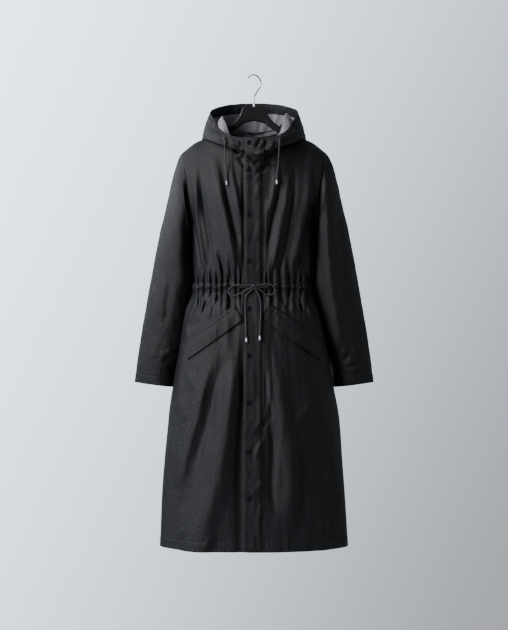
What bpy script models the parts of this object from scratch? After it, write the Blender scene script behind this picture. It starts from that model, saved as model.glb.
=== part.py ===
"""A long black hooded raincoat hanging on a moulded hanger, piece by piece.

Tables and functions give places in millimetres as (x, y, drop): +X is the viewer's right, the
front faces -Y, and drop is the distance below the origin, the inner top of the hook's crook.
Meshes are made in metres, +Z up.
"""

import math
from bisect import bisect_right
from collections import namedtuple

import bmesh
import bpy
from mathutils import Matrix, Vector

MM = 0.001

# Driving dimensions, in millimetres.
CLOTH = 1.2  # wall of one layer of coat cloth
LINER = 1.0  # wall of a facing or lining
FLAP = 2.0  # wall of a flap, which is cloth folded double
GAP = 0.35  # between pieces that lie on each other
SEAM = 0.35  # from a side or shoulder seam's line to either cut edge
FRONT_SEAM = 0.3  # from the centre front line to either cut edge
HEM = 1266.0
WAIST = 572.0
UNDERARM = 431.0
SHOULDER_TIP = 189.0  # from the centre line, across the back of the shoulder seam
SHOULDER_SLOPE = 0.62  # drop for each millimetre outwards
NECK_X = 70.8  # half the width of the neck hole
NECK_DROP = 133.9  # at the neck end of the shoulder seam
FRONT_NECK = 200.0  # drop of the neck hole at the centre front
BACK_NECK = 149.0
ARM_DEPTH = 52.0  # half the front-to-back width of an armhole
PLACKET = 25.0  # half the width of the storm flap
PLACKET_SPREAD = 4.0  # more of it on the left by the hem
ROUNDNESS = 0.45  # how a panel rounds away to its side, 0.5 for an ellipse
SNAP = 13.0  # across a snap cap
SNAP_FACE = 10.0  # across its flat face
SNAP_HEIGHT = 1.6
CORD = 3.2  # across a drawcord
TIP = (5.4, 12.0)  # across a cord tip, and its length
WIRE = 3.6  # across the hook's wire
CROOK = 20.0  # inner radius of the hook's crook
HOOK_TURN = 60.0  # degrees that the hook is swivelled from square to its rail

BLACK_CLOTH = ("black_cloth", (0.012, 0.012, 0.014), 0.5, 0.0)
GREY_LINING = ("grey_lining", (0.16, 0.16, 0.17), 0.7, 0.0)
BLACK_CORD = ("black_cord", (0.015, 0.015, 0.016), 0.7, 0.0)
BLACK_METAL = ("black_metal", (0.02, 0.02, 0.022), 0.35, 0.6)
SILVER = ("silver_metal", (0.6, 0.6, 0.62), 0.25, 1.0)
CHROME = ("chrome", (0.8, 0.8, 0.82), 0.08, 1.0)
PLASTIC = ("black_plastic", (0.01, 0.01, 0.012), 0.35, 0.0)

# The armhole's distance from the centre line, by its sweep: an angle round the armhole, from
# the shoulder seam (0) to the underarm (180).
Armhole = namedtuple("Armhole", "sweep left right")
ARMHOLE = [
    Armhole(0, 189, 189),
    Armhole(20, 188.5, 188.5),
    Armhole(40, 187.5, 187),
    Armhole(60, 184.5, 183),
    Armhole(80, 179, 177.5),
    Armhole(100, 175, 173.5),
    Armhole(120, 172.5, 171),
    Armhole(150, 171.2, 169.5),
    Armhole(180, 171, 169),
]

# How far the cloth reaches forwards and back below the shoulder seam, by the square root of how
# far it has fallen, which makes the shoulder round.
Fall = namedtuple("Fall", "root front back")
FALL = [
    Fall(0, 0, 0),
    Fall(2.65, 19, 18),
    Fall(5.3, 36, 34),
    Fall(7.75, 50, 47),
    Fall(10, 62, 58),
    Fall(12.25, 72, 68),
    Fall(14.1, 79, 75),
    Fall(15.5, 82, 78),
    Fall(18.7, 82, 78),
]

# Below the underarm: the side seams' distances from the centre line, and the reach of the
# front and the back at the centre line.
Outline = namedtuple("Outline", "drop left right front back")
OUTLINE = [
    Outline(431, 171, 169, 82, 78),
    Outline(504, 169, 165, 79, 75),
    Outline(560, 167, 160, 73, 69),
    Outline(584, 168, 161, 73, 69),
    Outline(633, 186, 175, 84, 80),
    Outline(728, 200, 196, 95, 90),
    Outline(849, 220, 216, 102, 98),
    Outline(930, 227, 227, 105, 101),
    Outline(1038, 238, 235, 108, 104),
    Outline(1146, 246, 243, 111, 107),
    Outline(1266, 251, 251, 114, 110),
]

# The largest folds. Each runs through three places and pushes the cloth out (or in, if less
# than 0) by push at its middle; width is from its middle to where it has nearly gone.
Fold = namedtuple("Fold", "face x1 drop1 x2 drop2 x3 drop3 width push")
FOLDS = [
    Fold("front", -172, 225, -150, 418, -121, 560, 13, 5),
    Fold("front", -158, 244, -138, 400, -126, 484, 12, -4),
    Fold("front", -136, 225, -82, 420, -45, 560, 17, 7),
    Fold("front", -92, 225, -60, 390, -32, 560, 14, -6),
    Fold("front", 164, 225, 116, 397, 82, 560, 15, 6),
    Fold("front", 92, 235, 60, 385, 34, 560, 13, 5),
    Fold("front", 140, 240, 88, 397, 60, 540, 14, -4),
    Fold("front", -44, 690, -92, 920, -152, 1300, 34, 13),
    Fold("front", -100, 720, -157, 957, -215, 1200, 26, -9),
    Fold("front", -48, 860, -68, 1060, -98, 1300, 18, -9),
    Fold("front", 40, 700, 80, 930, 106, 1300, 26, 10),
    Fold("front", 70, 960, 58, 1100, 52, 1300, 16, -6),
    Fold("front", 130, 800, 150, 1000, 170, 1300, 34, -4),
    Fold("back", -150, 230, -110, 400, -70, 560, 16, 6),
    Fold("back", 148, 230, 112, 400, 78, 560, 16, 6),
    Fold("back", -96, 240, -58, 400, -24, 560, 15, -5),
    Fold("back", 92, 240, 52, 400, 20, 560, 15, -5),
    Fold("back", -30, 640, -60, 900, -90, 1300, 30, 12),
    Fold("back", 44, 650, 84, 930, 118, 1300, 32, 12),
    Fold("back", -110, 700, -140, 950, -170, 1300, 24, -7),
    Fold("back", 6, 780, 14, 1000, 18, 1300, 26, -9),
    Fold("back", 150, 740, 172, 1000, 186, 1300, 22, -6),
]
FOLD_FADE = 90.0  # the length over which a fold grows and dies away

# Gathers at the waist: the places of their crests, from the centre line.
GATHERS = {
    ("front", -1): (40, 53, 74, 90, 104, 119, 138, 153),
    ("front", 1): (28, 40, 58, 82, 103, 119, 132, 149),
    ("back", -1): (12, 30, 51, 68, 90, 109, 126, 148),
    ("back", 1): (12, 33, 49, 71, 88, 106, 127, 146),
}
GATHER_PUSH = 3.2
GATHER_ABOVE = 42.0  # how far the gathers run up, and down
GATHER_BELOW = 46.0
CASING = (561.0, 572.0, 583.0)  # drops of the casing's top edge, middle and lower edge
# Where a front casing starts, as a share of the way from the placket's edge to the first crest.
CASING_START = {-1: 0.12, 1: 0.5}

# The hood, by its turn round the neck from the centre front (0) to the centre back (180). Its
# edge is the rim, and fold is where the hanging cloth turns under, back to the neck seam.
Hood = namedtuple("Hood", "turn rim_x rim_y rim_drop fold_x fold_y fold_drop")
HOOD = [
    Hood(0, 0, -76, 178, 0, -80, 217),
    Hood(20, 38, -74, 177, 34, -79, 213),
    Hood(40, 68, -66, 169, 66, -75, 204),
    Hood(60, 91, -46, 151, 103, -59, 190),
    Hood(75, 107, -15, 122, 132, -22, 174),
    Hood(90, 119, 22, 95, 141.5, 15, 171),
    Hood(110, 106, 62, 80, 133, 68, 192),
    Hood(135, 73, 88, 67, 98, 120, 243),
    Hood(160, 35, 98, 60, 48, 146, 288),
    Hood(180, 0, 100, 58, 0, 152, 302),
]
FACING = 26.0  # width of the facing inside the rim
LINING_TURN = 90  # the lining shows from here round the back
HOOD_OUT = 1.5  # how far the hood's neck edge stands out from the neck hole
HOOD_UP = 2.0  # and above it
HOOD_ARCH = 2.5  # how far the layer under the hood arches up

# Sleeve rings from the armhole to the cuff. Top is the outer edge, bottom the inner one, set
# is how far the ring stands back, and depth is half of the ring's front-to-back size.
Ring = namedtuple("Ring", "top top_drop bottom bottom_drop set depth")
SLEEVE = [
    Ring(198, 215, 174, 432.5, 0, 55),
    Ring(208, 237, 176.5, 436, 0, 58),
    Ring(221, 284, 178, 444, 0, 60),
    Ring(234, 345, 178.5, 460, 1, 60),
    Ring(251, 415, 178.5, 485, 2, 58),
    Ring(264, 480, 178, 520, 3, 56),
    Ring(275, 540, 178.5, 562, 5, 54),
    Ring(286, 602, 187, 614, 8, 50),
    Ring(297, 665, 198, 674, 13, 47),
    Ring(306, 720, 208, 731, 18, 44),
    Ring(314, 775, 216, 788, 22, 40),
    Ring(320, 829, 221, 843, 26, 36),
]

# Sections of the hanger's body from the middle to a shoulder.
Section = namedtuple("Section", "x top low thick")
HANGER = [
    Section(0, 85, 123, 6),
    Section(29, 85, 130, 6.5),
    Section(38, 107, 137, 7),
    Section(51, 124, 146, 7.5),
    Section(66, 136, 156, 8),
    Section(100, 158, 179, 9),
    Section(135, 180, 203, 11),
    Section(165, 199, 221, 13),
    Section(178, 211, 226, 11),
    Section(181, 216, 222, 6),
]

SNAP_X = -12.0
SNAP_DROPS = (193, 231, 262, 383, 504, 631, 753, 877, 1004, 1125)

# The pocket flaps' corners, as (x, drop): the outer end's upper and lower corner, then the
# inner end's.
POCKETS = {
    "left": ((-195, 720), (-177, 766), (-51.5, 620), (-31, 660)),
    "right": ((191, 718), (177, 766), (48, 619), (26.5, 656)),
}

EYELET_RADIUS = 2.85  # from an eyelet's middle to the middle of its ring
EYELET_WIRE = 0.85  # radius of that ring
# Where each eyelet lies on its cloth, and the way its hole faces.
Eyelet = namedtuple("Eyelet", "x y drop face_x face_y face_drop")
EYELETS = {
    "hood_eyelet_left": Eyelet(-76.5, -67.8, 180, -0.28, -0.91, -0.32),
    "hood_eyelet_right": Eyelet(68.5, -68.0, 175, 0.32, -0.88, -0.36),
    "waist_eyelet_left": Eyelet(-36.5, -74.7, 572, 0.14, -0.99, 0),
    "waist_eyelet_right": Eyelet(40, -74.0, 572, 0, -1, 0),
}
KNOT = (0.0, -80.0, 572.0)
KNOT_SIZE = (11.0, 8.0, 10.0)  # across, front to back, and in height

# The cords' routes, as places (x, y, drop) along the middle of each, from its eyelet or from the
# knot to its other end.
ROUTES = {
    "hood_cord_left": [
        (-76.7, -68.4, 179.8), (-77.6, -71.5, 178.9), (-78.0, -74.3, 179.6), (-77.9, -76.0, 182.5),
        (-77.6, -76.6, 187), (-77.2, -76.8, 193), (-76.9, -76.7, 199), (-76.6, -76.2, 206),
        (-76.3, -75.2, 214), (-76.0, -74.0, 222), (-75.6, -72.9, 230), (-75.2, -72.0, 238),
        (-74.7, -71.5, 246), (-74.2, -71.3, 254), (-73.7, -71.4, 262), (-73.2, -71.7, 270),
        (-72.7, -72.2, 278), (-72.3, -72.7, 285), (-72.0, -73.2, 292),
    ],
    "hood_cord_right": [
        (68.7, -68.4, 174.8), (69.6, -71.2, 173.6), (69.9, -74.5, 173.6), (69.6, -77.0, 175.6),
        (69.0, -78.4, 179), (68.4, -79.2, 184), (67.8, -79.5, 190), (67.2, -79.3, 197),
        (66.7, -78.9, 204), (66.2, -78.4, 212), (65.7, -78.0, 220), (65.1, -77.7, 228),
        (64.5, -77.6, 236), (63.9, -77.7, 244), (63.3, -78.0, 252), (62.7, -78.5, 260),
        (62.0, -79.1, 268), (61.3, -79.8, 276), (60.7, -80.4, 284), (60.3, -81.0, 291),
    ],
    "waist_lead_left": [
        (-36.4, -75.3, 572), (-36.2, -76.9, 572.1), (-34.9, -78.3, 572.4), (-31.5, -78.7, 572.8),
        (-26, -78.3, 573), (-20, -77.8, 573.2), (-13, -77.4, 573.4), (-6, -77.3, 573.5),
    ],
    "waist_lead_right": [
        (40, -75.0, 572), (39.9, -76.8, 572.1), (38.4, -78.3, 572.4), (34.5, -78.7, 572.8),
        (28, -78.3, 573), (20, -77.8, 573.2), (13, -77.4, 573.4), (6, -77.3, 573.5),
    ],
    "waist_loop_left": [
        (-6, -80.8, 569.5), (-15, -81.1, 568.2), (-24, -81.2, 567.7), (-33, -81.1, 567.5),
        (-42, -80.7, 567.9), (-50, -80.1, 569), (-57, -79.5, 571.2), (-63, -79.1, 575),
        (-67, -79.0, 580.5), (-67.8, -79.2, 586.5), (-64.5, -79.5, 591.8), (-58, -79.9, 594.9),
        (-50, -80.4, 595.4), (-42.5, -80.8, 593.5), (-35, -81.1, 589.8), (-27.5, -81.3, 585.6),
        (-20, -81.6, 581.2), (-13, -81.9, 577.6), (-6.8, -82.1, 575.2),
    ],
    "waist_loop_right": [
        (6, -80.8, 569.5), (13, -81.1, 568), (21, -81.2, 566.8), (29, -81.1, 565.9),
        (37, -80.8, 565.7), (44.5, -80.4, 567.1), (50.5, -80.0, 570.4), (54, -79.8, 575.6),
        (55, -79.8, 581.5), (53.3, -80.0, 587.3), (48.8, -80.4, 592), (42, -80.8, 594.3),
        (35, -81.1, 593.7), (28.3, -81.3, 590.4), (22, -81.5, 585.4), (15.5, -81.8, 580.3),
        (6.8, -82.1, 575.3),
    ],
    "waist_end_left": [
        (-3.2, -82.5, 577.9), (-7.5, -82.4, 582.2), (-12.5, -82.3, 586.2), (-17, -82.3, 591),
        (-20.2, -82.5, 597), (-21.8, -83.1, 604), (-22.5, -84.5, 612), (-22.9, -86.2, 621),
        (-22.8, -87.9, 631), (-22.5, -89.7, 641), (-22, -91.3, 651), (-21.5, -92.6, 661),
        (-21, -93.8, 671), (-20.6, -95.2, 681), (-20.3, -96.8, 691), (-20.1, -98.3, 700),
        (-20, -99.3, 706),
    ],
    "waist_end_right": [
        (3.2, -82.5, 577.9), (6.5, -82.6, 583), (9.7, -82.6, 589), (12.8, -82.7, 595.5),
        (15.3, -83.3, 603), (17, -84.6, 611), (17.8, -86.3, 620), (18, -88.0, 630),
        (17.9, -89.9, 641), (17.6, -91.5, 651), (17.2, -92.8, 661), (16.7, -94.1, 671),
        (16.2, -95.5, 681), (15.7, -97.0, 690), (15.4, -98.4, 697), (15.3, -99.2, 701.5),
    ],
}
TIPPED = {
    "hood_cord_left": "hood_tip_left",
    "hood_cord_right": "hood_tip_right",
    "waist_end_left": "waist_tip_left",
    "waist_end_right": "waist_tip_right",
}
# A cord tip's outline: the share of its length, and of its radius.
TIP_OUTLINE = [(0.0, 0.76), (0.08, 1.0), (0.8, 1.0), (1.0, 0.6)]

# The hanging loop inside the back neck.
LOOP = (-19.5, 24.5, 148.0, 4.6)  # x at its ends, drop of its upper edge, width
LOOP_Y = 36.9
LOOP_SAG = 2.4


def curve(table, at, column):
    """A column of a table at any value of its first column, on a smooth curve."""
    keys = [row[0] for row in table]
    i = min(max(bisect_right(keys, at) - 1, 0), len(keys) - 2)

    def slope(j):
        before, after = max(j - 1, 0), min(j + 1, len(keys) - 1)
        rise = getattr(table[after], column) - getattr(table[before], column)
        return rise / (keys[after] - keys[before])

    span = keys[i + 1] - keys[i]
    t = min(max((at - keys[i]) / span, 0.0), 1.0)
    start, end = getattr(table[i], column), getattr(table[i + 1], column)
    value = (1 + 2 * t) * (1 - t) ** 2 * start + t * t * (3 - 2 * t) * end
    return value + span * t * (1 - t) * ((1 - t) * slope(i) - t * slope(i + 1))


def smooth(t):
    """A soft step from 0 to 1."""
    t = min(max(t, 0.0), 1.0)
    return t * t * (3 - 2 * t)


def mix(a, b, t):
    """The value, or the point, that lies the share t of the way from a to b."""
    if isinstance(a, tuple):
        return tuple(p + (q - p) * t for p, q in zip(a, b))
    return a + (b - a) * t


# ---------------------------------------------------------------- the body's surface


def share_of(sweep):
    """How far down the yoke a sweep angle lies, from 0 at the shoulder to 1."""
    return (1 - math.cos(math.radians(sweep))) / 2


def shoulder_drop(x):
    return NECK_DROP + SHOULDER_SLOPE * (x - NECK_X)


def neck_height(face, x):
    """The drop of the neck hole's edge where it passes x."""
    low = FRONT_NECK if face == "front" else BACK_NECK
    return low - (low - NECK_DROP) * (1 - math.sqrt(max(0.0, 1 - (x / NECK_X) ** 2)))


def placket_edge(side, level):
    drop = level if level > 180 else UNDERARM
    return PLACKET + (PLACKET_SPREAD * (drop - UNDERARM) / (HEM - UNDERARM) if side < 0 else 0)


def side_edge(side, level):
    """The side seam's, or the armhole's, distance from the centre line."""
    if level <= 180:
        return curve(ARMHOLE, level, "left" if side < 0 else "right")
    return curve(OUTLINE, level, "left" if side < 0 else "right")


def out_of(side, across, level):
    """Distance from the centre line: across is -1 there, 0 at the placket's edge, 1 at the side."""
    edge = placket_edge(side, level)
    if across < 0:
        return edge * (1 + across)
    return edge + (side_edge(side, level) - edge) * across


def across_of(side, out, level):
    """The inverse of out_of."""
    edge = placket_edge(side, level)
    if out < edge:
        return out / edge - 1
    return (out - edge) / (side_edge(side, level) - edge)


def fold_push(face, x, drop):
    """How far the folds push the cloth out at a place."""
    total = 0.0
    for fold in FOLDS:
        if fold.face != face or not fold.drop1 < drop < fold.drop3:
            continue
        t = (drop - fold.drop1) / (fold.drop3 - fold.drop1)
        bend = (fold.drop2 - fold.drop1) / (fold.drop3 - fold.drop1)
        # A parabola through the fold's three places.
        middle = (fold.x2 - fold.x1 - (fold.x3 - fold.x1) * bend * bend) / (bend - bend * bend)
        place = fold.x1 + middle * t + (fold.x3 - fold.x1 - middle) * t * t
        fade = smooth((drop - fold.drop1) / FOLD_FADE) * smooth((fold.drop3 - drop) / FOLD_FADE)
        if fold.drop3 > HEM:
            fade = smooth((drop - fold.drop1) / (2 * FOLD_FADE))
        total += fold.push * fade * math.exp(-(((x - place) / fold.width) ** 2))
    return total


def gather_push(face, side, out, drop):
    """How far the waist gathers push the cloth out, crests out and valleys in."""
    reach = GATHER_ABOVE if drop < WAIST else GATHER_BELOW
    strength = math.exp(-(((drop - WAIST) / reach) ** 2))
    crests = GATHERS[face, side]
    if strength < 0.02 or out < crests[0] - 8:
        return 0.0
    marks = (2 * crests[0] - crests[1], *crests, side_edge(side, drop) + 8)
    i = min(max(bisect_right(marks, out) - 1, 0), len(marks) - 2)
    phase = (out - marks[i]) / (marks[i + 1] - marks[i])
    return GATHER_PUSH * strength * (0.8 + 0.2 * math.sin(2.1 * i)) * math.cos(math.tau * phase)


def body_point(face, side, across, level):
    """A place on the coat's front or back.

    A level up to 180 is a sweep angle on the yoke, and above that it is a drop.
    """
    out, edge = out_of(side, across, level), side_edge(side, level)
    if level <= 180:
        top_out = out_of(side, across, 0)
        top = neck_height(face, top_out) if top_out < NECK_X else shoulder_drop(top_out)
        drop = mix(top, UNDERARM, share_of(level))
        under_arm = ARM_DEPTH * math.sin(math.radians(level))
        fall = drop - shoulder_drop(mix(top_out, out, share_of(level)))
        deep = curve(FALL, math.sqrt(max(fall, 0.0)), face)
    else:
        drop, under_arm, deep = level, 0.0, curve(OUTLINE, level, face)
    round_off = max(0.0, 1 - (out / edge) ** 2) ** ROUNDNESS
    reach = under_arm + (deep - under_arm) * round_off
    reach += fold_push(face, side * out, drop) * round_off
    reach += gather_push(face, side, out, drop) * min(1.0, 2 * round_off)
    reach = max(reach, SEAM)
    if face == "front":
        return (side * max(out, FRONT_SEAM), -reach, drop)
    return (side * out, reach, drop)


def front_y(x, drop):
    """The front's y at a place below the underarm."""
    side = -1 if x < 0 else 1
    return body_point("front", side, across_of(side, abs(x), drop), drop)[1]


# ---------------------------------------------------------------- meshes


def make_object(name, mesh, material):
    """The mesh as an object in the coat's collection, smooth but for its sharp edges."""
    obj = bpy.data.objects.new(name, mesh)
    bpy.data.collections["raincoat"].objects.link(obj)
    mesh.materials.clear()
    mesh.materials.append(material_of(*material))
    mesh.shade_smooth()
    mesh.set_sharp_from_angle(angle=math.radians(50))
    return obj


def material_of(name, colour, roughness, metallic):
    if name in bpy.data.materials:
        return bpy.data.materials[name]
    material = bpy.data.materials.new(name)
    material.use_nodes = True
    shader = material.node_tree.nodes["Principled BSDF"]
    shader.inputs["Base Color"].default_value = (*colour, 1)
    shader.inputs["Roughness"].default_value = roughness
    shader.inputs["Metallic"].default_value = metallic
    return material


def place(point):
    """A point of the tables, in metres with +Z up."""
    return Vector((point[0] * MM, point[1] * MM, -point[2] * MM))


def zip_rows(rows, closed=False):
    """Faces between rows of (parameter, point), whose counts may differ.

    Two rows with the same parameters are joined by quads, and others by triangles.
    """
    bm = bmesh.new()
    made = [[(t, bm.verts.new(place(p))) for t, p in row] for row in rows]
    for upper, lower in zip(made, made[1:]):
        if [t for t, _ in upper] == [t for t, _ in lower]:
            count = len(upper)
            for i in range(count if closed else count - 1):
                j = (i + 1) % count
                bm.faces.new((upper[i][1], lower[i][1], lower[j][1], upper[j][1]))
            continue
        i = j = 0
        while i < len(upper) - 1 or j < len(lower) - 1:
            step_upper = j == len(lower) - 1 or (
                i < len(upper) - 1 and upper[i + 1][0] + upper[i][0] <= lower[j + 1][0] + lower[j][0]
            )
            if step_upper:
                bm.faces.new((upper[i][1], lower[j][1], upper[i + 1][1]))
                i += 1
            else:
                bm.faces.new((upper[i][1], lower[j][1], lower[j + 1][1]))
                j += 1
    return bm


def shell(name, rows, wall, material, closed=False, lift=0.0, flip=False):
    """Cloth through rows of points: an open surface, lifted along its normals, then Solidify."""
    bm = zip_rows(rows, closed)
    if flip:
        bmesh.ops.reverse_faces(bm, faces=bm.faces)
    bm.normal_update()
    if lift:
        moves = [v.normal * v.calc_shell_factor() * lift * MM for v in bm.verts]
        for vert, move in zip(bm.verts, moves):
            vert.co += move
    mesh = bpy.data.meshes.new(name)
    bm.to_mesh(mesh)
    bm.free()
    obj = make_object(name, mesh, material)
    solid = obj.modifiers.new("wall", "SOLIDIFY")
    solid.thickness = wall * MM
    solid.offset = -1
    return obj


# ---------------------------------------------------------------- fronts and back

SWEEPS = (0, 7, 20, 40, 60, 80, 100, 120, 140, 160, 180)
DROPS_ABOVE = (470, 508)
DROPS_GATHERED = (534, 550, *CASING, 597, 614)
DROPS_BELOW = (650, 700, 760, 830, 910, 1000, 1090, 1180, 1240, HEM)
SIDE_STEPS = 11
PLACKET_TURN = math.degrees(math.asin(PLACKET / NECK_X))
TURNS = (0, PLACKET_TURN / 2, PLACKET_TURN, 35, 50, 64, 76, 84, 90)


def plain_columns():
    """Across values: the placket's three, then closer together towards the side."""
    side = [math.sin(math.pi / 2 * k / SIDE_STEPS) for k in range(1, SIDE_STEPS + 1)]
    return [-1.0, -0.5, 0.0, *side]


def neck_columns():
    """Across values of the top rows, which follow the neck hole's curve."""
    neck = [across_of(1, NECK_X * math.sin(math.radians(turn)), 0) for turn in TURNS]
    return neck + [c for c in plain_columns() if c > neck[-1] + 0.02]


def gather_columns(face, side, drop):
    """Across values on every crest and valley at the waist."""
    crests = GATHERS[face, side]
    marks = []
    for crest, after in zip(crests, (*crests[1:], None)):
        marks.append(crest)
        if after:
            marks.append((crest + after) / 2)
    values = [across_of(side, mark, WAIST) for mark in marks]
    last = [(1 + values[-1]) / 2, 0.99, 1.0]
    start = [-1.0, -0.5, 0.0]
    return start + [v for v in values if v > start[-1] + 0.02] + last


def panel_row(face, side, level):
    """One side's row of (parameter, point) at a level, from the centre line outwards."""
    if level <= 20:
        columns = neck_columns()
    elif level in DROPS_GATHERED:
        columns = gather_columns(face, side, level)
    else:
        columns = plain_columns()
    return [(side * (1 + c), body_point(face, side, c, level)) for c in columns]


def panel_rows(face, sides, levels):
    """Rows across the panel, from the viewer's left to the right."""
    rows = []
    for level in levels:
        row = []
        for side in sides:
            part = panel_row(face, side, level)
            row += part[::-1] if side < 0 else part[1:] if row else part
        rows.append(row)
    return rows


LEVELS = (*SWEEPS, *DROPS_ABOVE, *DROPS_GATHERED, *DROPS_BELOW)


def make_body():
    for name, side in (("front_left", -1), ("front_right", 1)):
        shell(name, panel_rows("front", (side,), LEVELS), CLOTH, BLACK_CLOTH)
    shell("back", panel_rows("back", (-1, 1), LEVELS), CLOTH, BLACK_CLOTH, flip=True)


def make_casings():
    """The drawcord casing, made of the waist rows' points, moved out."""
    lift = CLOTH + GAP
    for name, side in (("casing_left", -1), ("casing_right", 1)):
        rows = []
        for row in panel_rows("front", (side,), CASING):
            edge = [entry for entry in row if abs(entry[0]) == 1][0]
            kept = [entry for entry in row if abs(entry[0]) > 1]
            near = kept[-1] if side < 0 else kept[0]
            start = (mix(edge[0], near[0], 0.2), mix(edge[1], near[1], CASING_START[side]))
            rows.append(kept + [start] if side < 0 else [start] + kept)
        shell(name, rows, CLOTH, BLACK_CLOTH, lift=lift)
    shell(
        "casing_back", panel_rows("back", (-1, 1), CASING), CLOTH, BLACK_CLOTH, lift=lift, flip=True
    )


# ---------------------------------------------------------------- sleeves


def sleeve_rows(side):
    """Rings of a sleeve, which start on the armhole's own points."""
    out = "left" if side < 0 else "right"
    loop = [(sweep, -1) for sweep in SWEEPS] + [(sweep, 1) for sweep in SWEEPS[-2:0:-1]]
    armhole = []
    for sweep, face in loop:
        drop = mix(shoulder_drop(SHOULDER_TIP), UNDERARM, share_of(sweep))
        y = face * ARM_DEPTH * math.sin(math.radians(sweep))
        armhole.append((side * (curve(ARMHOLE, sweep, out) + 3 * GAP), y, drop))
    rows = [list(enumerate(armhole))]
    for ring in SLEEVE:
        row = []
        for sweep, face in loop:
            share = share_of(sweep)
            x = side * mix(ring.top, ring.bottom, share)
            y = ring.set + face * ring.depth * math.sin(math.radians(sweep))
            row.append((x, y, mix(ring.top_drop, ring.bottom_drop, share)))
        rows.append(list(enumerate(row)))
    return rows


def make_sleeves():
    for name, side in (("sleeve_left", -1), ("sleeve_right", 1)):
        shell(name, sleeve_rows(side), CLOTH, BLACK_CLOTH, closed=True, flip=side < 0)


# ---------------------------------------------------------------- hood

HOOD_TURNS = (*TURNS, *(180 - turn for turn in TURNS[-2::-1]))


def neck_point(side, turn):
    """A place on the neck hole's edge."""
    face = "front" if turn <= 90 else "back"
    out = NECK_X * math.sin(math.radians(turn))
    return body_point(face, side, across_of(side, out, 0), 0)


def hood_point(side, turn, step):
    """A place on the hood: step 0 is its rim, 1 where it turns under, and 2 the neck seam."""
    rim = tuple(curve(HOOD, turn, "rim_" + axis) for axis in ("x", "y", "drop"))
    fold = tuple(curve(HOOD, turn, "fold_" + axis) for axis in ("x", "y", "drop"))
    angle = math.radians(turn)
    if step <= 1:
        bulge = (3 + 15 * smooth((turn - 90) / 90)) * math.sin(math.pi * step)
        x, y, drop = mix(rim, fold, step)
    else:
        neck = neck_point(1, turn)
        neck = mix(neck, (neck[0] + math.sin(angle), neck[1] - math.cos(angle), neck[2]), HOOD_OUT)
        neck = (*neck[:2], neck[2] - HOOD_UP)
        bulge = 0.0
        x, y, drop = mix(fold, neck, step - 1)
        drop -= HOOD_ARCH * math.sin(math.pi * (step - 1)) * math.sin(angle)
    x, y = x + bulge * math.sin(angle), y - bulge * math.cos(angle)
    return (side * max(x, FRONT_SEAM), y, drop)


def facing_step(turn):
    """The step at which the facing's width has been reached."""
    rim, fold = (Vector(hood_point(1, turn, step)) for step in (0, 1))
    return FACING / (fold - rim).length


def hood_row(step_at, turns=HOOD_TURNS):
    """A row round the neck, from the centre front by the viewer's left to the other side.

    step_at gives the row's step at each turn.
    """
    left = [(turn, hood_point(-1, turn, step_at(turn))) for turn in turns]
    right = [(360 - turn, hood_point(1, turn, step_at(turn))) for turn in turns[::-1]]
    left[-1] = (180, (0.0, *left[-1][1][1:]))
    return left + right[1:]


def rim_row(part):
    """A row that lies the given part of the facing's width below the rim."""
    return hood_row(lambda turn: part * facing_step(turn))


def fall_row(part):
    """A row between the facing's edge (0) and the fold (1)."""
    return hood_row(lambda turn: mix(facing_step(turn), 1.0, part))


def row_between(first, second, part):
    """A row on the faces between two rows of the same turns; part may be a function of turn."""
    share = part if callable(part) else lambda turn: part
    return [(t, mix(p, q, share(t))) for (t, p), (_, q) in zip(first, second)]


def pouch_share(turn):
    """How much of the pouch's depth the lining takes: little at the front, all at the back."""
    return mix(0.35, 1.0, smooth((min(turn, 360 - turn) - 55) / 50))


def raised(row, height):
    """The row, raised at the front, where the hood's two layers lie close together."""
    return [(t, (x, y, drop - height * (1.35 - pouch_share(t)))) for t, (x, y, drop) in row]


def make_hood():
    under = [hood_row(lambda turn, step=step: step) for step in (1.25, 1.65, 2)]
    rows = [rim_row(0), rim_row(0.5), rim_row(1), fall_row(0.35), fall_row(0.7), fall_row(1), *under]
    shell("hood", rows, CLOTH, BLACK_CLOTH, flip=True)
    inside = -(CLOTH + GAP)
    first = row_between(rim_row(0), rim_row(0.5), 0.1)
    last = row_between(rim_row(0.5), rim_row(1), 0.92)
    facing = [first, rim_row(0.5), last]
    shell("hood_facing", facing, LINER, BLACK_CLOTH, lift=inside, flip=True)
    start = row_between(rim_row(1), fall_row(0.35), 0.12)
    lining = [
        start,
        row_between(start, fall_row(0.35), pouch_share),
        raised(row_between(under[2], under[1], pouch_share), 4),
        raised(row_between(under[1], under[2], 0.9), 2),
    ]
    lining = [[(t, p) for t, p in row if LINING_TURN <= t <= 360 - LINING_TURN] for row in lining]
    shell("hood_lining", lining, LINER, GREY_LINING, lift=inside - 2 * GAP, flip=True)


def make_neck_lining():
    """The grey lining just inside the back, under the neck seam."""
    rows = panel_rows("back", (-1, 1), (7, 20))
    reach = 1 + across_of(1, NECK_X - 6, 0)
    rows = [[(t, p) for t, p in row if abs(t) <= reach] for row in rows]
    shell("neck_lining", rows, LINER, GREY_LINING, lift=-(CLOTH + GAP), flip=True)


# ---------------------------------------------------------------- flaps and snaps

# Above the fronts' own rows, the storm flap's reach at its middle, by its drop.
FLAP_TOPS = ((178.5, 86), (190, 87), (204, 87), (218, 86.5), (232, 82))
FLAP_TOP_CURVE = 3.0  # how far its edges lie behind its middle there


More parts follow.
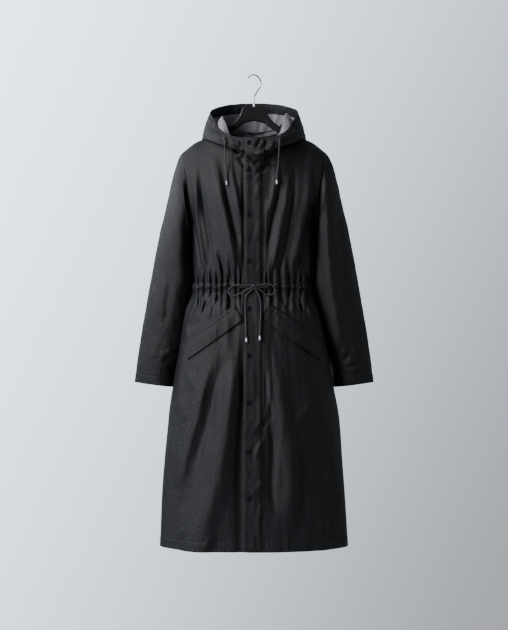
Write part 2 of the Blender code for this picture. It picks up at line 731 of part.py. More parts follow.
def placket_rows():
    """The storm flap: over the hood's front edges, then on the fronts' own columns."""
    rows = []
    for drop, reach in FLAP_TOPS:
        row = []
        for t in (-1.0, -0.5, 0.0, 0.5, 1.0):
            row.append((t, (t * PLACKET, -reach + FLAP_TOP_CURVE * t * t, drop)))
        rows.append(row)
    for level in LEVELS:
        row = []
        for side in (-1, 1):
            points = [(side * (1 + c), body_point("front", side, c, level)) for c in (-1, -0.5, 0)]
            row += points[::-1] if side < 0 else points[1:]
        row[2] = (0.0, (0.0, *row[2][1][1:]))
        if row[2][1][2] > FLAP_TOPS[-1][0] + 8:
            rows.append([(t, (x, y - FLAP - 2 * GAP, drop)) for t, (x, y, drop) in row])
    return rows


def make_storm_flap():
    shell("storm_flap", placket_rows(), FLAP, BLACK_CLOTH)


def surface_y(name, x, drop, radius):
    """The foremost y of a piece within a radius of a place, in millimetres."""
    depsgraph = bpy.context.evaluated_depsgraph_get()
    obj = bpy.data.objects[name].evaluated_get(depsgraph)
    found = []
    for dx, dz in ((0, 0), (1, 0), (-1, 0), (0, 1), (0, -1)):
        start = Vector(((x + dx * radius) * MM, -1.0, -(drop + dz * radius) * MM))
        hit, point, _, _ = obj.ray_cast(start, Vector((0, 1, 0)))
        if hit:
            found.append(point.y / MM)
    return min(found)


def make_snaps():
    """Low round caps, each standing just clear of the flap."""
    for number, drop in enumerate(SNAP_DROPS, 1):
        bm = bmesh.new()
        bmesh.ops.create_cone(
            bm,
            cap_ends=True,
            segments=16,
            radius1=SNAP / 2 * MM,
            radius2=SNAP_FACE / 2 * MM,
            depth=SNAP_HEIGHT * MM,
            matrix=Matrix.Rotation(math.pi / 2, 4, "X"),
        )
        mesh = bpy.data.meshes.new("snap")
        bm.to_mesh(mesh)
        bm.free()
        obj = make_object(f"snap_{number:02d}", mesh, BLACK_METAL)
        y = surface_y("storm_flap", SNAP_X, drop, SNAP / 2)
        obj.location = place((SNAP_X, y - GAP - SNAP_HEIGHT / 2, drop))


def make_pocket_flaps():
    """Flaps laid over the fronts: their points are the fronts' own, moved out."""
    for name, corners in POCKETS.items():
        outer_top, outer_low, inner_top, inner_low = corners
        rows = []
        for down in range(4):
            row = []
            for along in range(10):
                top = mix(outer_top, inner_top, along / 9)
                low = mix(outer_low, inner_low, along / 9)
                x, drop = mix(top, low, down / 3)
                y = min(front_y(x + dx, drop) for dx in (-7, 0, 7))
                row.append((along, (x, y - FLAP - 5 * GAP, drop)))
            rows.append(row if name == "left" else row[::-1])
        if name == "right":
            rows = [[(-t, p) for t, p in row] for row in rows]
        shell("pocket_flap_" + name, rows, FLAP, BLACK_CLOTH)


# ---------------------------------------------------------------- hanger and hook


def make_hanger():
    """A loft through upright sections, each a rounded oblong."""
    sections = [s._replace(x=-s.x) for s in HANGER[:0:-1]] + HANGER
    bm = bmesh.new()
    loops = []
    for section in sections:
        middle, half = (section.top + section.low) / 2, (section.low - section.top) / 2
        loop = []
        for k in range(12):
            angle = math.tau * (k + 0.5) / 12
            c, s = math.cos(angle), math.sin(angle)
            y = section.thick * math.copysign(abs(c) ** 0.6, c)
            drop = middle + half * math.copysign(abs(s) ** 0.6, s)
            loop.append(bm.verts.new(place((section.x, y, drop))))
        loops.append(loop)
    for a, b in zip(loops, loops[1:]):
        for k in range(12):
            bm.faces.new((a[k], b[k], b[(k + 1) % 12], a[(k + 1) % 12]))
    bm.faces.new(loops[0])
    bm.faces.new(loops[-1][::-1])
    bmesh.ops.recalc_face_normals(bm, faces=bm.faces)
    mesh = bpy.data.meshes.new("hanger")
    bm.to_mesh(mesh)
    bm.free()
    make_object("hanger", mesh, PLASTIC)


def hook_line():
    """The middle of the hook's wire: down round the crook, then to the stem."""
    radius = CROOK + WIRE / 2
    line = []
    for degrees in range(-60, 121, 12):
        angle = math.radians(degrees)
        line.append((radius * math.sin(angle), CROOK - radius * math.cos(angle)))
    line += [(13.5, 37.0), (8.0, 46.0), (2.6, 54.5), (0.5, 60.0), (0.0, 66.0), (0.0, 84.7)]
    turn = math.radians(HOOK_TURN)
    return [(out * math.sin(turn), out * math.cos(turn), drop) for out, drop in line]


def tube(name, line, diameter, material):
    """A cord or wire along a line of points."""
    data = bpy.data.curves.new(name, "CURVE")
    data.dimensions = "3D"
    data.bevel_depth = diameter / 2 * MM
    data.bevel_resolution = 2
    data.use_fill_caps = True
    spline = data.splines.new("POLY")
    spline.points.add(len(line) - 1)
    for point, at in zip(spline.points, line):
        point.co = (*place(at), 1)
    obj = bpy.data.objects.new(name, data)
    bpy.data.collections["raincoat"].objects.link(obj)
    data.materials.append(material_of(*material))
    return obj


def make_hook():
    tube("hook", hook_line(), WIRE, CHROME)


# ---------------------------------------------------------------- cords and their fittings


def turned(name, at, along, profile, material, closed=False):
    """A round piece of 12 sides: profile gives (distance along, radius) from a place.

    A closed profile goes round to its start, as a ring's does.
    """
    axis = (place(along) - place((0, 0, 0))).normalized()
    across = axis.orthogonal().normalized()
    other = axis.cross(across)
    bm = bmesh.new()
    loops = []
    for distance, radius in profile:
        loop = []
        for k in range(12):
            angle = math.tau * k / 12
            spoke = across * math.cos(angle) + other * math.sin(angle)
            loop.append(bm.verts.new(place(at) + (axis * distance + spoke * radius) * MM))
        loops.append(loop)
    for a, b in zip(loops, loops[1:] + loops[:1] if closed else loops[1:]):
        for k in range(12):
            bm.faces.new((a[k], a[(k + 1) % 12], b[(k + 1) % 12], b[k]))
    if not closed:
        bm.faces.new(loops[0])
        bm.faces.new(loops[-1][::-1])
    bmesh.ops.recalc_face_normals(bm, faces=bm.faces)
    mesh = bpy.data.meshes.new(name)
    bm.to_mesh(mesh)
    bm.free()
    make_object(name, mesh, material)


def make_eyelets():
    for name, eyelet in EYELETS.items():
        ring = []
        for k in range(5):
            angle = math.tau * k / 5
            along = GAP + EYELET_WIRE * (1 + math.cos(angle))
            ring.append((along, EYELET_RADIUS + EYELET_WIRE * math.sin(angle)))
        turned(name, eyelet[:3], eyelet[3:], ring, BLACK_METAL, closed=True)


def make_cords():
    for name, route in ROUTES.items():
        tube(name, route, CORD, BLACK_CORD)
    width, length = TIP
    for cord, name in TIPPED.items():
        before, end = ROUTES[cord][-2:]
        along = tuple(b - a for a, b in zip(before, end))
        profile = [(GAP + share * length, part * width / 2) for share, part in TIP_OUTLINE]
        turned(name, end, along, profile, SILVER)
    profile = []
    for k in range(9):
        angle = math.pi * (k + 0.5) / 9
        profile.append((-math.cos(angle) * KNOT_SIZE[2] / 2, math.sin(angle) * KNOT_SIZE[0] / 2))
    turned("waist_knot", KNOT, (0, 0, 1), profile, BLACK_CORD)
    for vert in bpy.data.objects["waist_knot"].data.vertices:
        middle = place(KNOT).y
        vert.co.y = middle + (vert.co.y - middle) * KNOT_SIZE[1] / KNOT_SIZE[0]


def make_neck_loop():
    """A strip that droops a little between its sewn ends."""
    first, last, top, width = LOOP
    rows = []
    for down in (0.0, width):
        row = []
        for k in range(9):
            sag = math.sin(math.pi * k / 8)
            row.append((k, (mix(first, last, k / 8), LOOP_Y - sag, top + down + LOOP_SAG * sag)))
        rows.append(row)
    shell("neck_loop", rows, LINER, BLACK_CLOTH)


def clear_scene():
    for obj in list(bpy.data.objects):
        bpy.data.objects.remove(obj)
    collection = bpy.data.collections.new("raincoat")
    bpy.context.scene.collection.children.link(collection)


def main():
    clear_scene()
    make_body()
    make_casings()
    make_sleeves()
    make_hood()
    make_neck_lining()
    make_storm_flap()
    bpy.context.view_layer.update()
    make_snaps()
    make_pocket_flaps()
    make_hanger()
    make_hook()
    make_eyelets()
    make_cords()
    make_neck_loop()


main()
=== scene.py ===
"""Looks for a long black hooded raincoat on a hanger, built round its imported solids.

Tables and functions give places in millimetres as (x, y, drop): +X is the viewer's right, the
front faces -Y, and drop is the distance below the origin, the inner top of the hook's crook.
"""

import math
from collections import namedtuple

import bmesh
import bpy
import numpy as np
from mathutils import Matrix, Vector
from mathutils.bvhtree import BVHTree


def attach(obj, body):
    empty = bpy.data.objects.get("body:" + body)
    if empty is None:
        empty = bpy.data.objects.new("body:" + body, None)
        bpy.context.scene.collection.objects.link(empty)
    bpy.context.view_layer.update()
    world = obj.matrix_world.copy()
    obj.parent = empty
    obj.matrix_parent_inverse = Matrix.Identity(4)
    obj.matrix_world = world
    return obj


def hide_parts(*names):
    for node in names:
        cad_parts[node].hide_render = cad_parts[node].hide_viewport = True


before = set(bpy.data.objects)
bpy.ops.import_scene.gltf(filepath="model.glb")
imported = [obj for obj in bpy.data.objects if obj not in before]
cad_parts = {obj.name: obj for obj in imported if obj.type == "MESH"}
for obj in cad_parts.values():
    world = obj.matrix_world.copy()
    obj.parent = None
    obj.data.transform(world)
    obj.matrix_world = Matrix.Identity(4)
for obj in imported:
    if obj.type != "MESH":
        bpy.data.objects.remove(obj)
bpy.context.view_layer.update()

MM = 0.001


def table(columns, *rows):
    """Rows of numbers in named columns."""
    row_type = namedtuple("Row", columns)
    return [row_type(*row) for row in rows]


# ---------------------------------------------------------------- sizes, nearly all the solids' own

# Those that differ for the looks are the armholes' depth, the gathers' push and how far they run
# down, the hood's rim behind the neck, the cords' thickness and their tips' outline.
CLOTH = 1.2
LINER = 1.0
FLAP = 2.0
GAP = 0.35
HEM = 1266.0
WAIST = 572.0
UNDERARM = 431.0
SHOULDER_TIP = 189.0
SHOULDER_SLOPE = 0.62
NECK_X = 70.8
NECK_DROP = 133.9
FRONT_NECK = 200.0
BACK_NECK = 149.0
ARM_DEPTH = 39.0
PLACKET = 25.0
PLACKET_SPREAD = 4.0
ROUNDNESS = 0.45
CORD = 3.8
TIP = (5.4, 12.0)
WIRE = 3.6
CROOK = 20.0
HOOK_TURN = 60.0

# The armhole's distance from the centre line, by an angle round it from the shoulder seam.
SWEEP_END = 180
ARMHOLE = table(
    "sweep left right",
    (0, 189, 189), (20, 188.5, 188.5), (40, 187.5, 187), (60, 184.5, 183), (80, 179, 177.5),
    (100, 175, 173.5), (120, 172.5, 171), (150, 171.2, 169.5), (180, 171, 169),
)

# The cloth's reach below the shoulder seam, by the square root of how far it has fallen.
FALL = table(
    "root front back",
    (0, 0, 0), (2.65, 19, 18), (5.3, 36, 34), (7.75, 50, 47), (10, 62, 58), (12.25, 72, 68),
    (14.1, 79, 75), (15.5, 82, 78), (18.7, 82, 78),
)

# Below the underarm: the side seams' distances, and the reach at the centre line.
OUTLINE = table(
    "drop left right front back",
    (431, 171, 169, 82, 78), (504, 169, 165, 79, 75), (560, 167, 160, 73, 69),
    (584, 168, 161, 73, 69), (633, 186, 175, 84, 80), (728, 200, 196, 95, 90),
    (849, 220, 216, 102, 98), (930, 227, 227, 105, 101), (1038, 238, 235, 108, 104),
    (1146, 246, 243, 111, 107), (1266, 251, 251, 114, 110),
)

# The back's largest folds, each through three places.
BACK_FOLDS = table(
    "x1 drop1 x2 drop2 x3 drop3 width push",
    (-150, 230, -110, 400, -70, 560, 16, 6), (148, 230, 112, 400, 78, 560, 16, 6),
    (-96, 240, -58, 400, -24, 560, 15, -5), (92, 240, 52, 400, 20, 560, 15, -5),
    (-30, 640, -60, 900, -90, 1300, 30, 12), (44, 650, 84, 930, 118, 1300, 32, 12),
    (-110, 700, -140, 950, -170, 1300, 24, -7), (6, 780, 14, 1000, 18, 1300, 26, -9),
    (150, 740, 172, 1000, 186, 1300, 22, -6),
)
FOLD_FADE = 90.0

# The crests of the gathers at the waist, from the centre line.
GATHERS = {
    ("front", -1): (40, 53, 74, 90, 104, 119, 138, 153),
    ("front", 1): (28, 40, 58, 82, 103, 119, 132, 149),
    ("back", -1): (12, 30, 51, 68, 90, 109, 126, 148),
    ("back", 1): (12, 33, 49, 71, 88, 106, 127, 146),
}
GATHER_PUSH = 4.0
GATHER_ABOVE = 42.0
GATHER_BELOW = 58.0
CASING = (561.0, 583.0)

# The hood's edge and where it turns under, by the turn round the neck from the centre front.
HOOD = table(
    "turn rim_x rim_y rim_drop fold_x fold_y fold_drop",
    (0, 0, -76, 178, 0, -80, 217), (20, 38, -74, 177, 34, -79, 213),
    (40, 68, -66, 169, 66, -75, 204), (60, 91, -46, 151, 103, -59, 190),
    (75, 107, -15, 122, 132, -22, 174), (90, 119, 22, 95, 141.5, 15, 171),
    (110, 106.5, 62, 77.5, 133, 68, 192), (135, 74, 88, 64.5, 98, 120, 243),
    (160, 36, 98, 58.5, 48, 146, 288), (180, 0, 100, 57.5, 0, 152, 302),
)
FACING = 26.0

# Sleeve rings: the outer edge, the inner one, how far back each is set, and half its depth.
SLEEVE = table(
    "top top_drop bottom bottom_drop set depth",
    (198, 215, 174, 432.5, 0, 55), (208, 237, 176.5, 436, 0, 58), (221, 284, 178, 444, 0, 60),
    (234, 345, 178.5, 460, 1, 60), (251, 415, 178.5, 485, 2, 58), (264, 480, 178, 520, 3, 56),
    (275, 540, 178.5, 562, 5, 54), (286, 602, 187, 614, 8, 50), (297, 665, 198, 674, 13, 47),
    (306, 720, 208, 731, 18, 44), (314, 775, 216, 788, 22, 40), (320, 829, 221, 843, 26, 36),
)

# The hanger's upright sections from its middle out.
HANGER = table(
    "x top low thick",
    (0, 85, 123, 6), (29, 85, 130, 6.5), (38, 107, 137, 7), (51, 124, 146, 7.5), (66, 136, 156, 8),
    (100, 158, 179, 9), (135, 180, 203, 11), (165, 199, 221, 13), (178, 211, 226, 11),
    (181, 216, 222, 6),
)

SNAP_X = -12.0
SNAP_DROPS = (193, 231, 262, 383, 504, 631, 753, 877, 1004, 1125)

# The pocket flaps' corners: the outer end's upper and lower one, then the inner end's.
POCKETS = {
    "left": ((-195, 720), (-177, 766), (-51.5, 620), (-31, 660)),
    "right": ((191, 718), (177, 766), (48, 619), (26.5, 656)),
}

EYELET_RADIUS = 2.85
EYELET_WIRE = 0.85
# Each eyelet's place and the way it faces.
EYELETS = {
    "hood_eyelet_left": ((-76.5, -67.8, 180), (-0.28, -0.91, -0.32)),
    "hood_eyelet_right": ((68.5, -68.0, 175), (0.32, -0.88, -0.36)),
    "waist_eyelet_left": ((-36.5, -74.7, 572), (0.14, -0.99, 0)),
    "waist_eyelet_right": ((40, -74.0, 572), (0, -1, 0)),
}

# Places along the middle of each cord, from its eyelet or the knot.
ROUTES = {
    "hood_cord_left": [
        (-76.7, -68.4, 179.8), (-77.6, -71.5, 178.9), (-78.0, -74.3, 179.6), (-77.9, -76.0, 182.5),
        (-77.6, -76.6, 187), (-77.2, -76.8, 193), (-76.9, -76.7, 199), (-76.6, -76.2, 206),
        (-76.3, -75.2, 214), (-76.0, -74.0, 222), (-75.6, -72.9, 230), (-75.2, -72.0, 238),
        (-74.7, -71.5, 246), (-74.2, -71.3, 254), (-73.7, -71.4, 262), (-73.2, -71.7, 270),
        (-72.7, -72.2, 278), (-72.3, -72.7, 285), (-72.0, -73.2, 292),
    ],
    "hood_cord_right": [
        (68.7, -68.4, 174.8), (69.6, -71.2, 173.6), (69.9, -74.5, 173.6), (69.6, -77.0, 175.6),
        (69.0, -78.4, 179), (68.4, -79.2, 184), (67.8, -79.5, 190), (67.2, -79.3, 197),
        (66.7, -78.9, 204), (66.2, -78.4, 212), (65.7, -78.0, 220), (65.1, -77.7, 228),
        (64.5, -77.6, 236), (63.9, -77.7, 244), (63.3, -78.0, 252), (62.7, -78.5, 260),
        (62.0, -79.1, 268), (61.3, -79.8, 276), (60.7, -80.4, 284), (60.3, -81.0, 291),
    ],
    "waist_lead_left": [
        (-36.4, -75.3, 572), (-36.2, -76.9, 572.1), (-34.9, -78.3, 572.4), (-31.5, -78.7, 572.8),
        (-26, -78.3, 573), (-20, -77.8, 573.2), (-13, -77.4, 573.4), (-6, -77.3, 573.5),
    ],
    "waist_lead_right": [
        (40, -75.0, 572), (39.9, -76.8, 572.1), (38.4, -78.3, 572.4), (34.5, -78.7, 572.8),
        (28, -78.3, 573), (20, -77.8, 573.2), (13, -77.4, 573.4), (6, -77.3, 573.5),
    ],
    "waist_loop_left": [
        (-6, -80.8, 569.5), (-15, -81.1, 568.2), (-24, -81.2, 567.7), (-33, -81.1, 567.5),
        (-42, -80.7, 567.9), (-50, -80.1, 569), (-57, -79.5, 571.2), (-63, -79.1, 575),
        (-67, -79.0, 580.5), (-67.8, -79.2, 586.5), (-64.5, -79.5, 591.8), (-58, -79.9, 594.9),
        (-50, -80.4, 595.4), (-42.5, -80.8, 593.5), (-35, -81.1, 589.8), (-27.5, -81.3, 585.6),
        (-20, -81.6, 581.2), (-13, -81.9, 577.6), (-6.8, -82.1, 575.2),
    ],
    "waist_loop_right": [
        (6, -80.8, 569.5), (13, -81.1, 568), (21, -81.2, 566.8), (29, -81.1, 565.9),
        (37, -80.8, 565.7), (44.5, -80.4, 567.1), (50.5, -80.0, 570.4), (54, -79.8, 575.6),
        (55, -79.8, 581.5), (53.3, -80.0, 587.3), (48.8, -80.4, 592), (42, -80.8, 594.3),
        (35, -81.1, 593.7), (28.3, -81.3, 590.4), (22, -81.5, 585.4), (15.5, -81.8, 580.3),
        (6.8, -82.1, 575.3),
    ],
    "waist_end_left": [
        (-3.2, -82.5, 577.9), (-7.5, -82.4, 582.2), (-12.5, -82.3, 586.2), (-17, -82.3, 591),
        (-20.2, -82.5, 597), (-21.8, -83.1, 604), (-22.5, -84.5, 612), (-22.9, -86.2, 621),
        (-22.8, -87.9, 631), (-22.5, -89.7, 641), (-22, -91.3, 651), (-21.5, -92.6, 661),
        (-21, -93.8, 671), (-20.6, -95.2, 681), (-20.3, -96.8, 691), (-20.1, -98.3, 700),
        (-20, -99.3, 706),
    ],
    "waist_end_right": [
        (3.2, -82.5, 577.9), (6.5, -82.6, 583), (9.7, -82.6, 589), (12.8, -82.7, 595.5),
        (15.3, -83.3, 603), (17, -84.6, 611), (17.8, -86.3, 620), (18, -88.0, 630),
        (17.9, -89.9, 641), (17.6, -91.5, 651), (17.2, -92.8, 661), (16.7, -94.1, 671),
        (16.2, -95.5, 681), (15.7, -97.0, 690), (15.4, -98.4, 697), (15.3, -99.2, 701.5),
    ],
}
TIPPED = {
    "hood_cord_left": "hood_tip_left",
    "hood_cord_right": "hood_tip_right",
    "waist_end_left": "waist_tip_left",
    "waist_end_right": "waist_tip_right",
}
# A cord tip's outline: the share of its length, and of its radius.
TIP_OUTLINE = [(0.0, 0.76), (0.04, 0.94), (0.08, 1.0), (0.8, 1.0), (0.93, 0.9), (1.0, 0.6)]

# The hanging loop: x at its ends, drop of its upper edge, and width.
LOOP = (-19.5, 24.5, 148.0, 4.6)
LOOP_Y = 36.9
LOOP_SAG = 2.4

# ---------------------------------------------------------------- finer form, as the photo shows it

# A ridge or trough of the cloth along a smooth path: width is from its middle to where it has
# nearly gone, push its height, skew how much wider it is on the path's right, looking along it, and
# spread how much wider it is at its end.
Line = namedtuple("Line", "path width push skew spread", defaults=(1.0, 1.0))


def lines(*rows):
    """Lines from rows that give the path as x, drop, x, drop and so on."""
    return [Line(np.reshape(row[0], (-1, 2)), *row[1:]) for row in rows]


CHEST_LINES = lines(
    ([-106, 222, -90, 310, -72, 397, -58, 476, -46, 556], 9.5, 8.0, 2.6),
    ([-86, 240, -72, 325, -55, 405, -34, 486], 7, -4.6),
    ([-66, 232, -50, 316, -32, 405], 6, 4.0, 1.5),
    ([-158, 225, -153, 318, -150, 384, -141, 449, -131, 507, -124, 553], 6, 6.0, 1.6),
    ([-144, 240, -139, 318, -130, 384, -119, 449, -112, 526], 6.5, -5.2),
    ([-161, 398, -157, 440, -150, 490, -143, 553], 4, 3.0, 1.3),
    ([-152, 430, -147, 476, -141, 520], 3.6, -2.4),
    ([-108, 462, -96, 500, -90, 554], 4.6, 3.6, 1.5),
    ([-98, 470, -86, 510, -80, 550], 3.6, -3.0),
    ([-78, 480, -70, 520, -66, 554], 4.0, 2.6),
    ([33, 285, 32, 420, 31, 553], 4.5, 1.6),
    ([-27.5, 196, -27.5, 330, -27, 450, -27, 560], 3.6, -3.4),
    ([68, 230, 53, 316, 34, 402], 6, 4.6, 1.6),
    ([78, 242, 65, 325, 49, 405, 34, 484], 6, -4.2),
    ([99, 230, 90, 310, 74, 397, 57, 480, 39, 556], 6.5, 6.4, 1.8),
    ([114, 215, 105, 325, 91, 412, 77, 490, 62, 554], 6.5, -4.4),
    ([154, 226, 145, 318, 129, 400, 112, 480, 97, 556], 7, 10.0, 2.0),
    ([158, 330, 148, 370, 138, 410, 128, 450, 119, 500, 113, 548], 6.5, -4.0),
    ([146, 462, 144, 515, 142, 554], 4.6, 3.2, 1.3),
    ([154, 480, 151, 515, 149, 548], 3.6, -2.6),
    ([84, 486, 78, 554], 4.5, 3.0),
    ([126, 476, 124, 554], 4.0, 2.6),
    ([18, 300, -4, 352], 7, 1.6),
    ([19, 392, 2, 460], 8, 1.7),
    ([20, 505, -6, 522], 5, -1.5),
)
# The gathers' crests on the front, as (x above the casing, x below it, how far it runs below).
PLEATS = [
    (-153, -159, 26), (-138, -136, 22), (-118, -124, 30), (-104, -106, 18), (-89, -96, 24),
    (-74, -73, 34), (-53, -58, 20), (-39, -42, 36), (28, 33, 30), (38, 45, 20), (58, 60, 34),
    (81, 86, 44), (103, 106, 20), (119, 122, 40), (132, 134, 22), (149, 143, 34),
]
WAIST_LINES = lines(
    ([-153, 585, -168, 650, -191, 712], 6, 3.4),
    ([-140, 587, -157, 640, -181, 700], 5, -4.4),
    ([-123, 586, -141, 634, -151, 668], 6.5, 3.8),
    ([-114, 588, -125, 612, -146, 660], 4.5, -3.6),
    ([-100, 592, -121, 662], 8, 2.8),
    ([-87, 587, -101, 610, -108, 646], 4.5, -3.6),
    ([-69, 587, -79, 640], 6.5, 2.8),
    ([-57, 588, -64, 642], 4.5, -3.0),
    ([-37, 590, -32, 665], 7, 2.4),
    ([42, 588, 31, 645], 5.5, 2.8),
    ([50, 588, 43, 622], 4.5, -2.6),
    ([63, 590, 68, 632], 6, 2.4),
    ([72, 589, 93, 644], 4.5, -3.2),
    ([88, 587, 108, 640], 6, 3.6),
    ([113, 588, 135, 646], 4.5, -3.4),
    ([125, 587, 146, 634, 165, 668], 6, 3.6),
    ([137, 588, 163, 640, 184, 696], 4.5, -3.8),
    ([147, 586, 172, 634, 197, 702], 6, 3.4),
)
SKIRT_LINES = lines(
    (
        [-40, 690, -45, 765, -55, 818, -60, 870, -68, 923, -75, 975, -87, 1028, -96, 1081,
         -110, 1133, -126, 1186, -140, 1233, -152, 1300],
        17, 15.0, 1.2, 2.3,
    ),
    ([-31, 690, -32, 800, -33, 950, -34, 1300], 15, -6.0),
    (
        [-96, 722, -108, 765, -126, 818, -139, 870, -150, 923, -166, 975, -179, 1028, -189, 1081,
         -198, 1120],
        10, 6.5, 2.6,
    ),
    ([-62, 722, -76, 765, -97, 818, -110, 870, -121, 923, -137, 975, -152, 1028, -168, 1090], 11, -5.5, 1.0),
    ([-152, 1030, -170, 1100, -196, 1180], 12, -2.4),
    ([-216, 1262, -196, 1226, -182, 1206], 7, 2.0),
    ([-128, 1262, -104, 1216], 8, 2.4),
    ([-170, 790, -160, 850], 12, 2.4),
    ([-196, 860, -180, 930], 13, 2.0),
    (
        [64, 700, 66, 765, 68, 818, 72, 870, 84, 923, 95, 975, 98, 1028, 101, 1081, 101, 1133,
         97, 1186, 88, 1240],
        14, 9.0, 1.9,
    ),
    ([34, 880, 44, 930, 50, 975, 50, 1028, 48, 1081, 51, 1133, 64, 1190], 9, -4.6),
    ([31, 780, 33, 900], 3.5, -2.4),
    ([40, 790, 43, 880], 4.5, 2.4),
    ([42, 872, 48, 920], 4.0, -3.0),
    ([92, 938, 130, 910, 160, 858], 11, 2.6),
    ([118, 800, 140, 846], 12, -2.0),
    ([122, 1000, 128, 1120, 132, 1230], 16, -3.0),
    ([170, 1000, 180, 1120, 186, 1290], 18, 3.0),
    ([46, 904, 22, 938, 0, 964, -18, 1004], 6.5, -2.6),
    ([36, 900, 8, 940, -12, 976], 7.0, 1.9),
    ([30, 942, 8, 980, -14, 1018], 6.0, -2.2),
    ([34, 950, 14, 990, -2, 1030], 7.5, 1.6),
    ([36, 1068, 14, 1092, -12, 1122], 7.0, 2.4),
    ([30, 1110, 12, 1180, 14, 1240], 7.0, 2.0),
    ([-8, 870, 6, 890], 5.0, -1.8),
    ([170, 1180, 196, 1215], 12, 1.8),
)
COLLAR_LINES = lines(
    ([50, 178, 48, 197, 36, 213, 16, 223, 0, 230], 5.0, 6.0, 2.0),
    ([20, 178, 13, 194, 3, 206], 4.0, -4.5),
    ([34, 182, 28, 200, 14, 212], 3.6, -2.4),
    ([-54, 207, -45, 211, -38, 218], 5.0, -7.0),
    ([-34, 205, -32, 218, -42, 229], 3.4, 4.0),
    ([-66, 188, -48, 195, -34, 198], 6.0, 3.0),
    ([-66, 180, -46, 185, -28, 192], 2.4, -2.0),
    ([-46, 229, -28, 239], 4.0, -4.5),
    ([-52, 240, -28, 257], 4.0, 3.4),
    ([-6, 250, 16, 243], 4.0, -4.0),
    ([-2, 268, 8, 261, 20, 252], 3.6, 4.0),
    ([4, 270, 28, 254, 60, 237], 7.0, -6.0),
    ([-6, 232, 8, 238, 24, 236], 4.0, 2.6),
    ([0, 290, 22, 272], 5.0, 2.4),
    ([2, 280, 20, 266], 3.6, -2.4),
)
SLEEVE_LINES = {
    "left": lines(
        ([-189, 262, -198, 397, -190, 481, -195, 555, -212, 640], 13, 4.5, 1.8),
        ([-180, 330, -182, 430, -184, 540], 9, -3.0),
        ([-237, 520, -259, 668], 13, 3.2),
        ([-220, 505, -241, 690], 9, -3.0),
        ([-250, 776, -230, 764, -208, 752], 5.5, -4.2),
        ([-256, 758, -234, 748, -212, 736], 7, 2.8),
        ([-235, 790, -215, 786], 10, -3.4),
        ([-255, 700, -279, 772], 10, 2.4),
        ([-188, 262, -192, 300], 6, -2.4),
    ),
    "right": lines(
        ([184, 285, 194, 397, 200, 502, 220, 650, 238, 745], 9, 4.4, 1.6),
        ([218, 300, 230, 423, 244, 528, 252, 640], 9, -3.2),
        ([240, 330, 258, 470, 278, 600], 12, 2.4),
        ([269, 640, 291, 730], 10, -2.4),
        ([235, 786, 254, 778, 264, 766], 5, 3.6),
        ([230, 772, 248, 764, 258, 750], 4.5, -3.6),
        ([240, 800, 258, 794, 278, 798], 5, 3.0),
        ([247, 786, 265, 784, 281, 776], 4, -3.4),
        ([266, 752, 276, 736], 6, 3.0),
        ([234, 750, 252, 738], 6, 2.4),
    ),
}
HOOD_LINES = lines(
    ([-128, 172, -108, 166, -84, 176], 6, 1.6),
    ([-118, 150, -104, 152, -92, 164], 5, -1.4),
    ([-112, 132, -100, 140], 5, 1.4),
    ([-134, 182, -104, 190, -74, 199], 5, 1.6),
    ([-98, 182, -78, 186], 3.6, -1.8),
    ([96, 150, 112, 166, 132, 176], 6, 1.8),
    ([84, 170, 104, 182, 124, 184], 5, -1.6),
    ([104, 128, 118, 150], 5, -1.4),
    ([56, 190, 74, 182, 92, 166], 6, 1.8),
)


def curve(rows, at, column):
    """A column of a table at values of its first column, on a smooth curve."""
    keys = np.array([row[0] for row in rows], float)
    values = np.array([getattr(row, column) for row in rows], float)
    at = np.asarray(at, float)
    order = np.arange(len(keys))
    before, after = np.maximum(order - 1, 0), np.minimum(order + 1, len(keys) - 1)
    slopes = (values[after] - values[before]) / (keys[after] - keys[before])
    i = np.clip(np.searchsorted(keys, at, "right") - 1, 0, len(keys) - 2)
    span = keys[i + 1] - keys[i]
    t = np.clip((at - keys[i]) / span, 0, 1)
    value = (1 + 2 * t) * (1 - t) ** 2 * values[i] + t * t * (3 - 2 * t) * values[i + 1]
    return value + span * t * (1 - t) * ((1 - t) * slopes[i] - t * slopes[i + 1])


def smooth(t):
    """A soft step from 0 to 1."""
    t = np.clip(t, 0.0, 1.0)
    return t * t * (3 - 2 * t)


def mix(a, b, t):
    return a + (b - a) * t


def bell(t):
    return np.exp(-np.square(t))


def through(path, at):
    """Points on a smooth curve through a path's places.

    They are at so many even steps over its stretches, or at the given places counted in stretches.
    """
    path = np.asarray(path, float)
    ends = np.vstack([2 * path[0] - path[1], path, 2 * path[-1] - path[-2]])
    if np.ndim(at) == 0:
        at = np.linspace(0, len(path) - 1, at)
    i = np.minimum(at.astype(int), len(path) - 2)
    t = (at - i)[:, None]
    a, b, c, d = ends[i], ends[i + 1], ends[i + 2], ends[i + 3]
    return 0.5 * (2 * b + (c - a) * t + (2 * a - 5 * b + 4 * c - d) * t**2 + (3 * b - a - 3 * c + d) * t**3)


